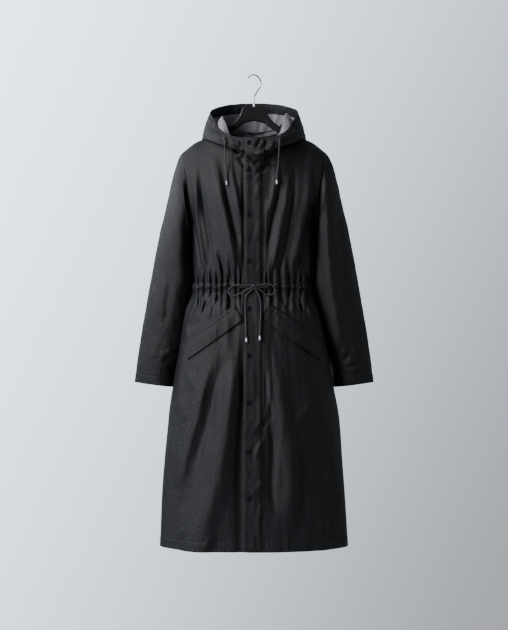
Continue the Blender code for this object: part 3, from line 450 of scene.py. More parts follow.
def ridges(u, v, lines_there):
    """The push of all the lines at places (u, v), arrays of one shape."""
    total = np.zeros(u.shape)
    for line in lines_there:
        path = through(line.path, 6 * len(line.path))
        reach = 2.2 * line.width * max(line.skew, 1.0) * max(line.spread, 1.0)
        low, high = path.min(0) - reach, path.max(0) + reach
        near = (u > low[0]) & (u < high[0]) & (v > low[1]) & (v < high[1])
        if not near.any():
            continue
        places = np.stack([u[near], v[near]], -1)
        starts, steps = path[:-1], np.diff(path, axis=0)
        lengths = np.maximum((steps**2).sum(-1), 1e-9)
        offset = places[:, None] - starts
        t = np.clip((offset * steps).sum(-1) / lengths, 0, 1)
        away = offset - t[..., None] * steps
        distance = (away**2).sum(-1)
        best = distance.argmin(1)
        pick = np.arange(len(best))
        along = (best + t[pick, best]) / len(starts)
        aside = steps[best, 0] * away[pick, best, 1] - steps[best, 1] * away[pick, best, 0]
        width = line.width * mix(1.0, line.skew, smooth(0.5 + 0.5 * np.tanh(aside / 30)))
        width = width * mix(1.0, line.spread, along)
        fade = smooth(along / 0.4) * smooth((1 - along) / 0.25)
        if line.path[-1][1] >= HEM:
            fade = smooth(along / 0.25)
        total[near] += line.push * fade * np.exp(-distance[pick, best] / width**2)
    return total


LATTICE = 64


def rumple(u, v, size_u, size_v, seed):
    """Soft unevenness from -1 to 1 with lumps of the given sizes, the same on every run."""
    lattice = np.random.default_rng(seed).uniform(-1, 1, (LATTICE, LATTICE))
    a, b = np.asarray(u) / size_u + 17.3, np.asarray(v) / size_v + 5.1
    i, j = np.floor(a).astype(int), np.floor(b).astype(int)
    s, t = smooth(a - i), smooth(b - j)
    i, next_i = i % LATTICE, (i + 1) % LATTICE
    j, next_j = j % LATTICE, (j + 1) % LATTICE
    top = mix(lattice[i, j], lattice[next_i, j], s)
    low = mix(lattice[i, next_j], lattice[next_i, next_j], s)
    return mix(top, low, t)


def puckers(along, away, period, seed):
    """Small puckers beside a stitched line, from the places along it and away from it."""
    wave = np.sin(math.tau * along / period + 2.2 * rumple(along, 0 * along, 3 * period, 1, seed))
    return wave * bell(away / (1.3 * period)) * (0.6 + 0.4 * rumple(along, away, 2 * period, 60, seed + 1))


# ---------------------------------------------------------------- the body's surface


def shoulder_drop(x):
    return NECK_DROP + SHOULDER_SLOPE * (x - NECK_X) - 6.0 * bell((x - 160) / 24)


def placket_edge(side, level):
    drop = np.where(level > SWEEP_END, level, UNDERARM)
    spread = PLACKET_SPREAD * (drop - UNDERARM) / (HEM - UNDERARM) if side < 0 else 0.0
    return PLACKET + spread


def side_edge(side, level):
    """The side seam's, or the armhole's, distance from the centre line."""
    name = "left" if side < 0 else "right"
    return np.where(level <= SWEEP_END, curve(ARMHOLE, level, name), curve(OUTLINE, level, name))


def out_of(side, across, level):
    edge = placket_edge(side, level)
    beyond = edge + (side_edge(side, level) - edge) * across
    return np.where(across < 0, edge * (1 + across), beyond)


def across_of(side, out, level):
    edge = placket_edge(side, level)
    return np.where(out < edge, out / edge - 1, (out - edge) / (side_edge(side, level) - edge))


def back_fold_push(x, drop):
    total = np.zeros(x.shape)
    for fold in BACK_FOLDS:
        t = (drop - fold.drop1) / (fold.drop3 - fold.drop1)
        bend = (fold.drop2 - fold.drop1) / (fold.drop3 - fold.drop1)
        middle = (fold.x2 - fold.x1 - (fold.x3 - fold.x1) * bend * bend) / (bend - bend * bend)
        place = fold.x1 + middle * t + (fold.x3 - fold.x1 - middle) * t * t
        fade = smooth((drop - fold.drop1) / FOLD_FADE) * smooth((fold.drop3 - drop) / FOLD_FADE)
        if fold.drop3 > HEM:
            fade = smooth((drop - fold.drop1) / (2 * FOLD_FADE))
        total += fold.push * fade * bell((x - place) / fold.width)
    return total


def gather_push(face, side, out, drop):
    reach = np.where(drop < WAIST, GATHER_ABOVE, GATHER_BELOW)
    crests = GATHERS[face, side]
    last = side_edge(side, np.maximum(drop, UNDERARM)) + 8
    marks = np.array([2 * crests[0] - crests[1], *crests], float)
    i = np.clip(np.searchsorted(marks, out, "right") - 1, 0, len(marks) - 1)
    end = np.where(i == len(marks) - 1, last, marks[np.minimum(i + 1, len(marks) - 1)])
    phase = (out - marks[i]) / (end - marks[i])
    wave = (0.8 + 0.2 * np.sin(2.1 * i)) * np.cos(math.tau * phase)
    return np.where(out < crests[0] - 8, 0.0, GATHER_PUSH * bell((drop - WAIST) / reach) * wave)


def body(face, side, across, level):
    """Places on the coat's front or back: a level up to 180 is a sweep angle, above that a drop."""
    across, level = np.broadcast_arrays(np.asarray(across, float), np.asarray(level, float))
    out, edge = out_of(side, across, level), side_edge(side, level)
    yoke = level <= SWEEP_END
    top_out = out_of(side, across, np.zeros(level.shape))
    low = FRONT_NECK if face == "front" else BACK_NECK
    neck = low - (low - NECK_DROP) * (1 - np.sqrt(np.clip(1 - (top_out / NECK_X) ** 2, 0, 1)))
    top = np.where(top_out < NECK_X, neck, shoulder_drop(top_out))
    angle = np.radians(np.minimum(level, SWEEP_END))
    share = (1 - np.cos(angle)) / 2
    drop = np.where(yoke, mix(top, UNDERARM, share), level)
    # Away from the armhole its depth fades out gently, so that no ledge runs across the chest.
    gentle = np.where(share > 0.5, 1 - smooth(2 * share - 1), np.sin(angle))
    arm = mix(gentle, np.sin(angle), (out / edge) ** 40)
    under_arm = np.where(yoke, ARM_DEPTH * arm, 0.0)
    fall = drop - shoulder_drop(mix(top_out, out, share))
    deep = np.where(
        yoke, curve(FALL, np.sqrt(np.maximum(fall, 0)), face), curve(OUTLINE, level, face)
    )
    round_off = np.maximum(0.0, 1 - (out / edge) ** 2) ** ROUNDNESS
    reach = under_arm + (deep - under_arm) * round_off
    if face == "back":
        reach = reach + back_fold_push(side * out, drop) * round_off
    reach = reach + gather_push(face, side, out, drop) * np.minimum(1.0, 2 * round_off)
    reach = np.maximum(reach, 0.1)
    return np.stack([side * out, -reach if face == "front" else reach, drop], -1)


def normals_of(points, middle):
    """Unit normals of a grid of places, turned away from the given middles."""
    down = np.gradient(points, axis=0)
    along = np.gradient(points, axis=1)
    normal = np.cross(down, along)
    normal /= np.maximum(np.linalg.norm(normal, axis=-1, keepdims=True), 1e-9)
    if (normal * (points - middle)).sum() < 0:
        normal = -normal
    return normal


def centre_line(points):
    """For each place, the one on the coat's upright centre line at its height."""
    return points * (0, 0, 1)


def pushed(points, amount, middle):
    return points + normals_of(points, middle) * np.asarray(amount)[..., None]


# ---------------------------------------------------------------- materials


def connect(tree, node, sockets):
    """Sets a node's sockets to values, or feeds them from other nodes' sockets."""
    for name, value in sockets.items():
        if isinstance(value, bpy.types.NodeSocket):
            tree.links.new(value, node.inputs[name])
        else:
            node.inputs[name].default_value = value


def add(tree, kind, sockets=None, **settings):
    """A new shader node with its sockets and settings."""
    node = tree.nodes.new("ShaderNode" + kind)
    for name, value in settings.items():
        setattr(node, name, value)
    connect(tree, node, sockets or {})
    return node


def new_material(name, colour, roughness, metallic=0.0):
    material = bpy.data.materials.new(name)
    material.use_nodes = True
    tree = material.node_tree
    shader = tree.nodes["Principled BSDF"]
    sockets = {"Base Color": (*colour, 1), "Roughness": roughness, "Metallic": metallic}
    connect(tree, shader, sockets)
    return material, tree, shader


def noise(tree, vector, scale, detail=2.0):
    sockets = {"Vector": vector, "Scale": scale, "Detail": detail}
    return add(tree, "TexNoise", sockets).outputs["Fac"]


def wave(tree, vector, direction, scale, distortion):
    sockets = {"Vector": vector, "Scale": scale, "Distortion": distortion}
    return add(tree, "TexWave", sockets, bands_direction=direction).outputs["Fac"]


def combined(tree, operation, *values):
    return add(tree, "Math", dict(enumerate(values)), operation=operation).outputs[0]


def stretched(tree, vector, sizes):
    return add(tree, "VectorMath", {0: vector, 1: sizes}, operation="MULTIPLY").outputs[0]


def between(tree, factor, low, high):
    """A value between two colours or two numbers."""
    if isinstance(low, tuple):
        sockets = {0: factor, 6: (*low, 1), 7: (*high, 1)}
        return add(tree, "Mix", sockets, data_type="RGBA").outputs[2]
    return add(tree, "MapRange", {"Value": factor, "To Min": low, "To Max": high}).outputs["Result"]


def ramp(tree, value, first, last):
    return add(tree, "MapRange", {"Value": value, "From Min": first, "From Max": last}).outputs["Result"]


def bump(tree, height, strength, distance):
    sockets = {"Height": height, "Strength": strength, "Distance": distance}
    return add(tree, "Bump", sockets).outputs["Normal"]


def woven(name, dark, light, roughness, sheen, crinkle):
    """Woven cloth: fine threads in both directions, soft mottling and small crinkles."""
    material, tree, shader = new_material(name, dark, roughness[0])
    place = add(tree, "TexCoord").outputs["Object"]
    thread = add(tree, "UVMap").outputs["UV"]
    weave = combined(tree, "MULTIPLY", *(wave(tree, thread, way, 260.0, 0.6) for way in "XY"))
    slub = noise(tree, stretched(tree, thread, (420.0, 38.0, 1.0)), 1.0, 3.0)
    cross = noise(tree, stretched(tree, thread, (30.0, 300.0, 1.0)), 1.0)
    fine = combined(tree, "MULTIPLY_ADD", slub, 3.4, weave)
    fine = combined(tree, "MULTIPLY_ADD", cross, 1.6, fine)
    height = combined(tree, "MULTIPLY_ADD", noise(tree, place, 110.0, 4.0), crinkle, fine)
    sockets = {
        "Base Color": between(tree, noise(tree, place, 60.0, 3.0), dark, light),
        "Roughness": between(tree, noise(tree, place, 23.0, 4.0), *roughness),
        "Sheen Weight": sheen,
        "Sheen Roughness": 0.4,
        "Normal": bump(tree, height, 0.5, 0.0005),
    }
    connect(tree, shader, sockets)
    return material


def corded(name, dark, light):
    material, tree, shader = new_material(name, dark, 0.6)
    braid = wave(tree, add(tree, "TexCoord").outputs["Object"], "DIAGONAL", 260.0, 1.5)
    sockets = {
        "Base Color": between(tree, braid, dark, light),
        "Sheen Weight": 0.1,
        "Normal": bump(tree, braid, 0.5, 0.0004),
    }
    connect(tree, shader, sockets)
    return material


def mottled(name, colour, roughness, scale, detail, metallic=0.0, grain=None):
    """Smooth metal or plastic with an uneven gloss, and a fine grain if it has one."""
    material, tree, shader = new_material(name, colour, roughness[0], metallic)
    place = add(tree, "TexCoord").outputs["Object"]
    sockets = {"Roughness": between(tree, noise(tree, place, scale, detail), *roughness)}
    if grain:
        sockets["Normal"] = bump(tree, noise(tree, place, grain), 0.15, 0.0002)
    connect(tree, shader, sockets)
    return material


def metal(name, colour, roughness):
    return mottled(name, colour, roughness, 180.0, 4.0, 1.0)


BLACK = woven("coat_cloth", (0.0085, 0.0098, 0.0125), (0.0125, 0.0142, 0.0178), (0.47, 0.57), 0.05, 4.0)
GREY = woven("grey_lining", (0.33, 0.33, 0.35), (0.42, 0.42, 0.445), (0.62, 0.75), 0.2, 4.0)
CORDED = corded("braided_cord", (0.035, 0.036, 0.04), (0.075, 0.077, 0.083))
CHROME = metal("chrome_hook", (0.8, 0.8, 0.82), (0.05, 0.12))
SILVER = metal("silver_tip", (0.72, 0.72, 0.74), (0.16, 0.3))
DARK_METAL = metal("black_snap", (0.045, 0.047, 0.052), (0.34, 0.46))
PLASTIC = mottled("black_plastic", (0.02, 0.02, 0.022), (0.3, 0.42), 30.0, 3.0, grain=1400.0)
THREAD = woven("black_thread", (0.01, 0.011, 0.013), (0.02, 0.021, 0.024), (0.55, 0.7), 0.05, 0.5)
# The two cloths, each as its material and its material's name.
SHELL = (BLACK, "coat_cloth")
LINING = (GREY, "grey_lining")

# ---------------------------------------------------------------- meshes


def metres(points):
    return np.asarray(points, float) * (MM, MM, -MM)


def linked(name, data):
    """A new object in the scene."""
    obj = bpy.data.objects.new(name, data)
    bpy.context.scene.collection.objects.link(obj)
    return obj


def add_object(name, data, material, replaces):
    obj = linked(name, data)
    data.materials.append(material)
    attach(obj, "root")
    if replaces:
        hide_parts(*replaces)
    return obj


def grid(name, points, material, replaces, wall, closed, middle):
    """Cloth through a grid of places, outward side out, with its lengths as UVs."""
    rows, count = points.shape[:2]
    index = np.arange(rows * count).reshape(rows, count)
    right = np.roll(index, -1, axis=1)
    cells = slice(None) if closed else slice(0, count - 1)
    faces = np.stack(
        [index[:-1, cells], index[1:, cells], right[1:, cells], right[:-1, cells]], -1
    ).reshape(-1, 4)
    flat = metres(points).reshape(-1, 3)
    corner = flat[faces]
    normal = np.cross(corner[:, 1] - corner[:, 0], corner[:, 3] - corner[:, 0])
    centre = metres(np.broadcast_to(middle, points.shape)).reshape(-1, 3)[faces[:, 0]]
    if (normal * (corner.mean(1) - centre)).sum() < 0:
        faces = faces[:, ::-1]
    mesh = bpy.data.meshes.new(name)
    mesh.from_pydata(flat.tolist(), [], faces.tolist())
    across = np.linalg.norm(np.diff(points, axis=1), axis=-1).mean(0)
    down = np.linalg.norm(np.diff(points, axis=0), axis=-1).mean(1)
    us = np.concatenate([[0], np.cumsum(across)]) * MM
    vs = np.concatenate([[0], np.cumsum(down)]) * MM
    uv = np.stack(np.meshgrid(us, vs), -1).reshape(-1, 2)
    layer = mesh.uv_layers.new(name="lengths")
    layer.data.foreach_set("uv", uv[faces.reshape(-1)].reshape(-1).astype(np.float32))
    mesh.shade_smooth()
    mesh.update()
    obj = add_object(name, mesh, material, replaces)
    if wall:
        solid = obj.modifiers.new("wall", "SOLIDIFY")
        solid.thickness = wall * MM
        solid.offset = -1
    return obj


def sheet(name, points, middle, wall=CLOTH, cloth=SHELL, closed=False):
    """A cut sheet in place of its solid, with its outward directions.
    """
    obj = grid(name + "_cloth", points, cloth[0], [name], wall, closed, middle)
    lengths = np.empty(2 * len(obj.data.loops), np.float32)
    obj.data.uv_layers[0].data.foreach_get("uv", lengths)
    return obj, normals_of(points, middle)


def tube(name, line, diameter, material, replaces, points_each=4, sides=3):
    """A cord or wire, on a smooth curve through its places."""
    data = bpy.data.curves.new(name, "CURVE")
    data.dimensions = "3D"
    data.bevel_depth = diameter / 2 * MM
    data.bevel_resolution = sides
    data.use_fill_caps = True
    places = metres(through(line, points_each * (len(line) - 1) + 1))
    spline = data.splines.new("POLY")
    spline.points.add(len(places) - 1)
    for point, at in zip(spline.points, places):
        point.co = (*at, 1)
    return add_object(name, data, material, replaces)


def rings(name, loops, material, replaces, closed=False, sharp=40):
    """A solid through rings of places (ring, place, xyz), capped unless it closes on itself."""
    bm = bmesh.new()
    made = [[bm.verts.new(at) for at in loop] for loop in metres(loops)]
    count = len(made[0])
    for a, b in zip(made, made[1:] + made[:1] if closed else made[1:]):
        for k in range(count):
            bm.faces.new((a[k], a[(k + 1) % count], b[(k + 1) % count], b[k]))
    if not closed:
        bm.faces.new(made[0])
        bm.faces.new(made[-1][::-1])
    bmesh.ops.recalc_face_normals(bm, faces=bm.faces)
    mesh = bpy.data.meshes.new(name)
    bm.to_mesh(mesh)
    bm.free()
    mesh.shade_smooth()
    mesh.set_sharp_from_angle(angle=math.radians(sharp))
    return add_object(name, mesh, material, replaces)


def turned(name, at, along, profile, material, replaces, sides, closed=False):
    """A round piece: profile gives (distance along, radius) from a place."""
    axis = Vector(along).normalized()
    across = axis.orthogonal().normalized()
    other = axis.cross(across)
    angles = np.arange(sides) * math.tau / sides
    spokes = np.outer(np.cos(angles), across) + np.outer(np.sin(angles), other)
    loops = [np.array(at) + np.array(axis) * far + spokes * radius for far, radius in profile]
    return rings(name, np.array(loops), material, replaces, closed)


# Each seam is a line of places and their outward directions.
seams = []
STITCH_PITCH = 4.4
STITCH_RADIUS = 0.36
STITCH_SIDES = 5
# The share of the pitch that a stitch takes.
STITCH_SHARE = 0.72


def sew(points, normals, rows=(), columns=(), within=slice(None)):
    """Adds seams along rows of a grid and along columns, within some of its rows."""
    seams.extend((points[row], normals[row]) for row in rows)
    seams.extend((points[within, column], normals[within, column]) for column in columns)


def stitches(name):
    """Short raised stitches along all the seams."""
    spokes = np.arange(STITCH_SIDES) * math.tau / STITCH_SIDES
    places, faces = [], []
    for line, out in seams:
        line, out = np.asarray(line, float), np.asarray(out, float)
        steps = np.linalg.norm(np.diff(line, axis=0), axis=-1)
        lengths = np.concatenate([[0], np.cumsum(steps)])
        for start in np.arange(STITCH_PITCH / 2, lengths[-1] - STITCH_PITCH, STITCH_PITCH):
            ends = [start, start + STITCH_PITCH * STITCH_SHARE]
            a, b = (np.array([np.interp(e, lengths, line[:, i]) for i in range(3)]) for e in ends)
            up = np.array([np.interp(start, lengths, out[:, i]) for i in range(3)])
            side = np.cross(b - a, up)
            side /= max(np.linalg.norm(side), 1e-9)
            first = len(places)
            # It rises out of the cloth at one end and goes back in at the other.
            places.append(a - up * STITCH_RADIUS * 0.4)
            for t in (0.14, 0.86):
                middle = mix(a, b, t) + up * STITCH_RADIUS * 0.55
                for angle in spokes:
                    out_to = side * math.cos(angle) + up * math.sin(angle)
                    places.append(middle + STITCH_RADIUS * out_to)
            places.append(b - up * STITCH_RADIUS * 0.4)
            for k in range(STITCH_SIDES):
                j = (k + 1) % STITCH_SIDES
                near, far = first + 1, first + 1 + STITCH_SIDES
                faces.append((first, near + j, near + k))
                faces.append((near + k, near + j, far + j, far + k))
                faces.append((far + STITCH_SIDES, far + k, far + j))
    mesh = bpy.data.meshes.new(name)
    mesh.from_pydata(metres(places).tolist(), [], faces)
    mesh.shade_smooth()
    mesh.uv_layers.new(name="lengths")
    mesh.update()
    add_object(name, mesh, THREAD, [])


# ---------------------------------------------------------------- fronts and back

HEM_STITCH = 1240.0
YOKE_ROWS = 132
LEVELS = np.concatenate(
    [
        np.linspace(0, SWEEP_END, YOKE_ROWS, endpoint=False),
        [SWEEP_END],
        np.linspace(433.4, 620, 78),
        np.linspace(624, 1230, 120),
        np.linspace(1232, HEM, 18),
    ]
)
HEM_ROW = int(np.abs(LEVELS - HEM_STITCH).argmin())


def panel_columns(count, placket_count):
    placket = np.linspace(-1, 0, placket_count)
    side = np.sin(np.pi / 2 * np.arange(1, count + 1) / count)
    neck = across_of(1, NECK_X * np.sin(np.radians([72, 80, 86, 90])), np.zeros(4))
    return np.unique(np.concatenate([placket, side, neck]).round(5))


# A fold's push fades where the cloth turns away, by this power of how squarely it faces.
FACING_POWER = 1.2


def side_weights(points):
    """How squarely a place faces front or back, and how squarely a side."""
    normal = np.abs(normals_of(points, centre_line(points))) ** FACING_POWER
    return normal[..., 1], normal[..., 0]


def arc_along(points):
    steps = np.linalg.norm(np.diff(points, axis=1), axis=-1)
    return np.concatenate([np.zeros((len(points), 1)), np.cumsum(steps, axis=1)], axis=1)


def pleat_lines(scale=1.0):
    """Short crisp crests above and below the casing."""
    crests = []
    for number, (above, below, run) in enumerate(PLEATS):
        lean = 4 * math.sin(1.9 * number)
        crests.append(Line([(above * scale + lean, 520 + lean), (above * scale, 563)], 2.8, 1.9))
        crests.append(Line([(below * scale, 581), (below * scale * 1.05 - lean, 584 + run)], 3.2, 2.0))
    return crests


def mirrored(lines_there, stretch):
    turned_over = []
    for line in lines_there:
        path = [(-x * stretch, drop) for x, drop in line.path]
        turned_over.append(line._replace(path=path, skew=1 / line.skew, width=line.width * line.skew))
    return turned_over


FRONT_LINES = CHEST_LINES + pleat_lines() + WAIST_LINES + SKIRT_LINES + COLLAR_LINES
BACK_LINES = mirrored(
    [
        line
        for line in CHEST_LINES + WAIST_LINES + SKIRT_LINES
        if abs(line.path[0][0]) > 34 and line.path[-1][1] - line.path[0][1] > 40
    ],
    0.94,
) + pleat_lines(-0.95)
# On the sides the paths give y in place of x.
SIDE_LINES = lines(
    ([-6, 470, 2, 520, -2, 560], 8, 3.0),
    ([22, 480, 18, 556], 7, -3.0),
    ([-4, 586, 10, 660, 16, 760], 9, 3.2),
    ([-26, 588, -34, 650], 7, -3.0),
    ([30, 590, 40, 680, 52, 800], 9, 3.0),
    ([4, 820, -10, 960, -20, 1110, -24, 1300], 20, 4.0),
    ([44, 900, 50, 1100, 54, 1300], 16, -4.0),
    ([-50, 860, -62, 1060, -70, 1300], 15, -3.6),
)


def body_detail(face, points):
    """The push of the finer folds at places of the body's surface."""
    x, y, drop = np.moveaxis(points, -1, 0)
    facing, sideways = side_weights(points)
    total = 1.2 * ridges(x, drop, FRONT_LINES if face == "front" else BACK_LINES) * facing
    total += ridges(y, drop, SIDE_LINES) * sideways * smooth((drop - 440) / 40)
    flow = x / np.where(drop < WAIST, 1.25 - 0.5 * drop / WAIST, 0.75 + 0.5 * (drop - WAIST) / 700)
    soft = 1.5 * rumple(flow, drop, 19, 120, 3) + 0.7 * rumple(flow, drop, 9, 70, 4)
    soft += 0.2 * rumple(x + 0.4 * drop, drop, 7, 9, 5)
    total += soft * smooth((drop - 190) / 60) * (0.35 + 0.65 * facing)
    along = arc_along(points)
    total += 0.55 * puckers(along, drop - HEM_STITCH, 11, 21)
    total += 0.5 * smooth((drop - HEM_STITCH) / 2.5) - 0.5 * bell((drop - HEM_STITCH) / 1.4)
    return total


def panel(face, side, count, placket_count=9):
    across, level = np.meshgrid(panel_columns(count, placket_count), LEVELS)
    points = body(face, side, across, level)
    points = pushed(points, body_detail(face, points), centre_line(points))
    if face == "back":
        # The side seam's allowance lies behind the front's edge.
        tuck = smooth((across - 0.999) / 0.001) * smooth((level - 200) / 40)
        points -= tuck[..., None] * (side * 1.2, 2.4, 0.0)
    return points


front_parts = []
for name, side in (("front_left", -1), ("front_right", 1)):
    points = panel("front", side, 92)
    front, normals = sheet(name, points, centre_line(points))
    front_parts.append(front)
    sew(points, normals, [HEM_ROW])
points = np.concatenate([panel("back", -1, 60, 5)[:, :0:-1], panel("back", 1, 60, 5)], axis=1)
_, normals = sheet("back", points, centre_line(points))
sew(points, normals, [HEM_ROW])


def tree_of(objects):
    """The outer sides of objects, to find places on."""
    places, faces = [], []
    for obj in objects:
        first = len(places)
        places += [v.co.copy() for v in obj.data.vertices]
        faces += [[first + i for i in face.vertices] for face in obj.data.polygons]
    return BVHTree.FromPolygons(places, faces)


def foremost(tree, x, drop, missing):
    """The y of the first surface met from the front at places (x, drop)."""
    found = np.empty(x.shape)
    for at in np.ndindex(x.shape):
        start = Vector((x[at] * MM, -0.5, -drop[at] * MM))
        hit = tree.ray_cast(start, Vector((0, 1, 0)))[0]
        found[at] = hit.y / MM if hit else missing
    return found


def evened(values, passes):
    """A grid of values, smoothed over its neighbours."""
    for _ in range(passes):
        wide = np.pad(values, 1, mode="edge")
        around = wide[:-2, 1:-1] + wide[2:, 1:-1] + wide[1:-1, :-2] + wide[1:-1, 2:]
        values = values * 0.4 + around * 0.15
    return values


# ---------------------------------------------------------------- storm flap and snaps

FRONT_TREE = tree_of(front_parts)
# Above the fronts' own rows, the storm flap's reach at its middle, by its drop.
FLAP_TOPS = table(
    "drop reach", (178.5, 86), (190, 87), (204, 87), (218, 86.5), (232, 83.5), (250, 84)
)
FLAP_LIFT = 3.1
FLAP_COLUMNS = 34
# The columns beside the free edge, which don't sink below the others.
FREE_COLUMNS = 12


def storm_flap():
    upper = np.linspace(FLAP_TOPS[0].drop, 330, 80)
    drops = np.concatenate([upper, np.linspace(333, HEM + 2.4, 250)])
    edge = np.sin(np.linspace(-np.pi / 2, np.pi / 2, FLAP_COLUMNS))
    u, drop = np.meshgrid(edge, drops)
    left = placket_edge(-1, drop) + 0.5 * rumple(drop, 0 * drop, 34, 1, 31)
    x = mix(-left, PLACKET + 0 * left, (u + 1) / 2)
    lying = evened(foremost(FRONT_TREE, x, drop, 0.0), 3)
    # It is stiff, so it doesn't sink into the trough beside its free edge.
    level = np.minimum(lying, lying[:, FREE_COLUMNS:].min(1, keepdims=True))
    lying = mix(lying, level, smooth((6 - x) / 20))
    standing = -curve(FLAP_TOPS, drop, "reach") + 3.0 * u * u - ridges(x, drop, COLLAR_LINES)
    sewn = smooth((x - 14) / 9)
    lift = mix(FLAP_LIFT + 0.8, 1.0, sewn) + 0.7 * bell((x + left - 7) / 5)
    y = mix(standing, lying - lift, smooth((drop - 222) / 26))
    y -= 0.5 * puckers(drop, x + left - 3, 9, 33) + 0.55 * puckers(drop, x - 22, 10, 35)
    y += 0.6 * bell((x - 23.4) / 1.3)
    turn_in = np.clip(1 - (x + left) / 1.8, 0, 1)
    y += 1.1 * (1 - np.sqrt(1 - turn_in**2))
    y -= 0.45 * rumple(x, drop, 13, 26, 37)
    for snap in SNAP_DROPS:
        y += 0.9 * bell(np.hypot(x - SNAP_X, drop - snap) / 9)
    return np.stack([x, y, drop], -1)


points = storm_flap()
flap, normals = sheet("storm_flap", points, points * (1, 0, 1), 0.8 * FLAP)
sew(points, normals, columns=(2, FLAP_COLUMNS - 3), within=slice(2, -3))
# One row of stitches runs down the front beside the flap.
BESIDE_FLAP = 26.6
points = np.stack([np.full(60, BESIDE_FLAP), np.zeros(60), np.linspace(262, 905, 60)], -1)
points[:, 1] = foremost(FRONT_TREE, points[:, 0], points[:, 2], 0.0)
seams.append((points, np.tile((0.0, -1.0, 0.0), (60, 1))))
FLAP_TREE = tree_of([flap])

SNAP_PROFILE = [(0.0, 6.4), (0.7, 6.5), (1.3, 6.3), (1.75, 5.7), (1.55, 5.0), (1.3, 3.6), (1.25, 0.02)]
for number, drop in enumerate(SNAP_DROPS, 1):
    name = f"snap_{number:02d}"
    y = foremost(FLAP_TREE, np.array([SNAP_X]), np.array([float(drop)]), 0.0)[0] - 0.1
    place = (SNAP_X, y, drop)
    turned(name + "_cap", place, (0, -1, 0), SNAP_PROFILE, DARK_METAL, [name], 40)

# ---------------------------------------------------------------- pocket flaps

POCKET_ROWS = 42
POCKET_COLUMNS = 92
POCKET_LENGTH = 172.0
POCKET_WIDTH = 43.0
# Where the two seams run, as shares of the flap's width from its top.
POCKET_SEAMS = (0.06, 0.23)
for side, corners in POCKETS.items():
    outer_top, outer_low, inner_top, inner_low = (np.array(corner, float) for corner in corners)
    shares = (np.linspace(0, 1, POCKET_ROWS), np.linspace(0, 1, POCKET_COLUMNS))
    down, along = np.meshgrid(*shares, indexing="ij")
    top = mix(outer_top, inner_top, along[..., None])
    low = mix(outer_low, inner_low, along[..., None])
    x, drop = np.moveaxis(mix(top, low, down[..., None]), -1, 0)
    far, deep = along * POCKET_LENGTH, down * POCKET_WIDTH
    drop = drop + 1.2 * down * rumple(far, 0 * down, 40, 1, 41)
    lying = evened(foremost(FRONT_TREE, x, drop, 0.0), 14)
    actual = foremost(FRONT_TREE, x, drop, 0.0)
    lying = np.minimum(lying, evened(np.minimum(actual, lying), 4))
    lift = 3.0 + 2.4 * np.sin(np.pi * down**0.7) + 0.8 * down + 0.8 * bell((deep - 5.5) / 2.6)
    lift += 0.9 * rumple(far, deep, 34, 26, 42) * (0.4 + down)
    if side == "right":
        lift += 4.0 * smooth((1 - along) / 0.45) * smooth(along / 0.4) * (0.3 + 0.7 * down)
    lift += 0.5 * puckers(far, (down - POCKET_SEAMS[0]) * POCKET_WIDTH, 9, 43)
    for seam in POCKET_SEAMS:
        lift -= 0.5 * bell((down - seam) * POCKET_WIDTH / 1.2)
    lift -= 1.2 * smooth((0.03 - down) / 0.03)
    points = np.stack([x, lying - lift, drop], -1)
    name = "pocket_flap_" + side
    _, normals = sheet(name, points, points + (0, 60, 0), 0.8 * FLAP)
    seam_rows = (2, round(POCKET_SEAMS[1] * (POCKET_ROWS - 1)))
    sew(points, normals, seam_rows, (2, POCKET_COLUMNS - 3), slice(3, -2))

# ---------------------------------------------------------------- waist casing

RUCHE = 7.4
ROLL = 570.5
ROLL_REACH = 7.5
CASING_ROWS = 26
COLUMN_STEP = 1.15


def casing(face, sides, starts, seed):
    """Cloth ruched over the waist cord, on the panel's own places."""
    parts = []
    for side, start in zip(sides, starts):
        end = side_edge(side, WAIST)
        outs = np.linspace(start, end - 0.3, int((end - start) / COLUMN_STEP))
        drops = np.linspace(CASING[0] - 1.0, CASING[1] + 1.0, CASING_ROWS)
        out, drop = np.meshgrid(outs, drops)
        places = body(face, side, across_of(side, out, drop), drop)
        parts.append(places if side > 0 else places[:, ::-1])
    if len(parts) == 2:
        parts[1] = parts[1][:, 1:]
    points = np.concatenate(parts, axis=1)
    upright = centre_line(points)
    points = pushed(points, body_detail(face, points), upright)
    along = arc_along(points)
    # The cord inside makes one roll, with the cloth's ruches lying slantwise over it.
    roll = (points[..., 2] - ROLL) / ROLL_REACH
    phase = along / RUCHE + 0.45 * roll + 0.6 * rumple(along, 0 * roll, 22, 1, seed + 1)
    crest = np.abs(np.sin(math.pi * phase)) ** 0.7
    size = 0.8 + 0.2 * rumple(along, 0 * roll, 10, 1, seed + 2)
    round_it = np.sqrt(np.clip(1 - roll**2, 0, 1))
    fullness = mix(2.2, 4.4, smooth((np.abs(points[..., 0]) - 60) / 20))
    lift = 0.8 + 0.5 * crest + round_it * (0.7 + fullness * crest * size)
    wavy = pushed(points, lift, upright)
    wavy[..., 2] += 1.8 * (crest - 0.5) * np.clip(roll, -1, 1) * size
    return wavy, upright


CASINGS = {
    "casing_left": ("front", (-1,), (27.6,), 51),
    "casing_right": ("front", (1,), (26.6,), 55),
    "casing_back": ("back", (-1, 1), (0.0, 0.0), 59),
}
for name, (face, sides, starts, seed) in CASINGS.items():
    points, upright = casing(face, sides, starts, seed)
    under = ["back" if face == "back" else name.replace("casing", "front")]
    _, normals = sheet(name, points, upright, 0.8 * CLOTH)
    sew(points, normals, (1, CASING_ROWS - 2))

# ---------------------------------------------------------------- sleeves

CUFF = 24.0
# How much further back than its outer side the sleeve's inner side lies, by its rings.
TUCKS = [0, 6, 14, 18, 20, 20, 22, 26, 28, 28, 26, 24, 22]
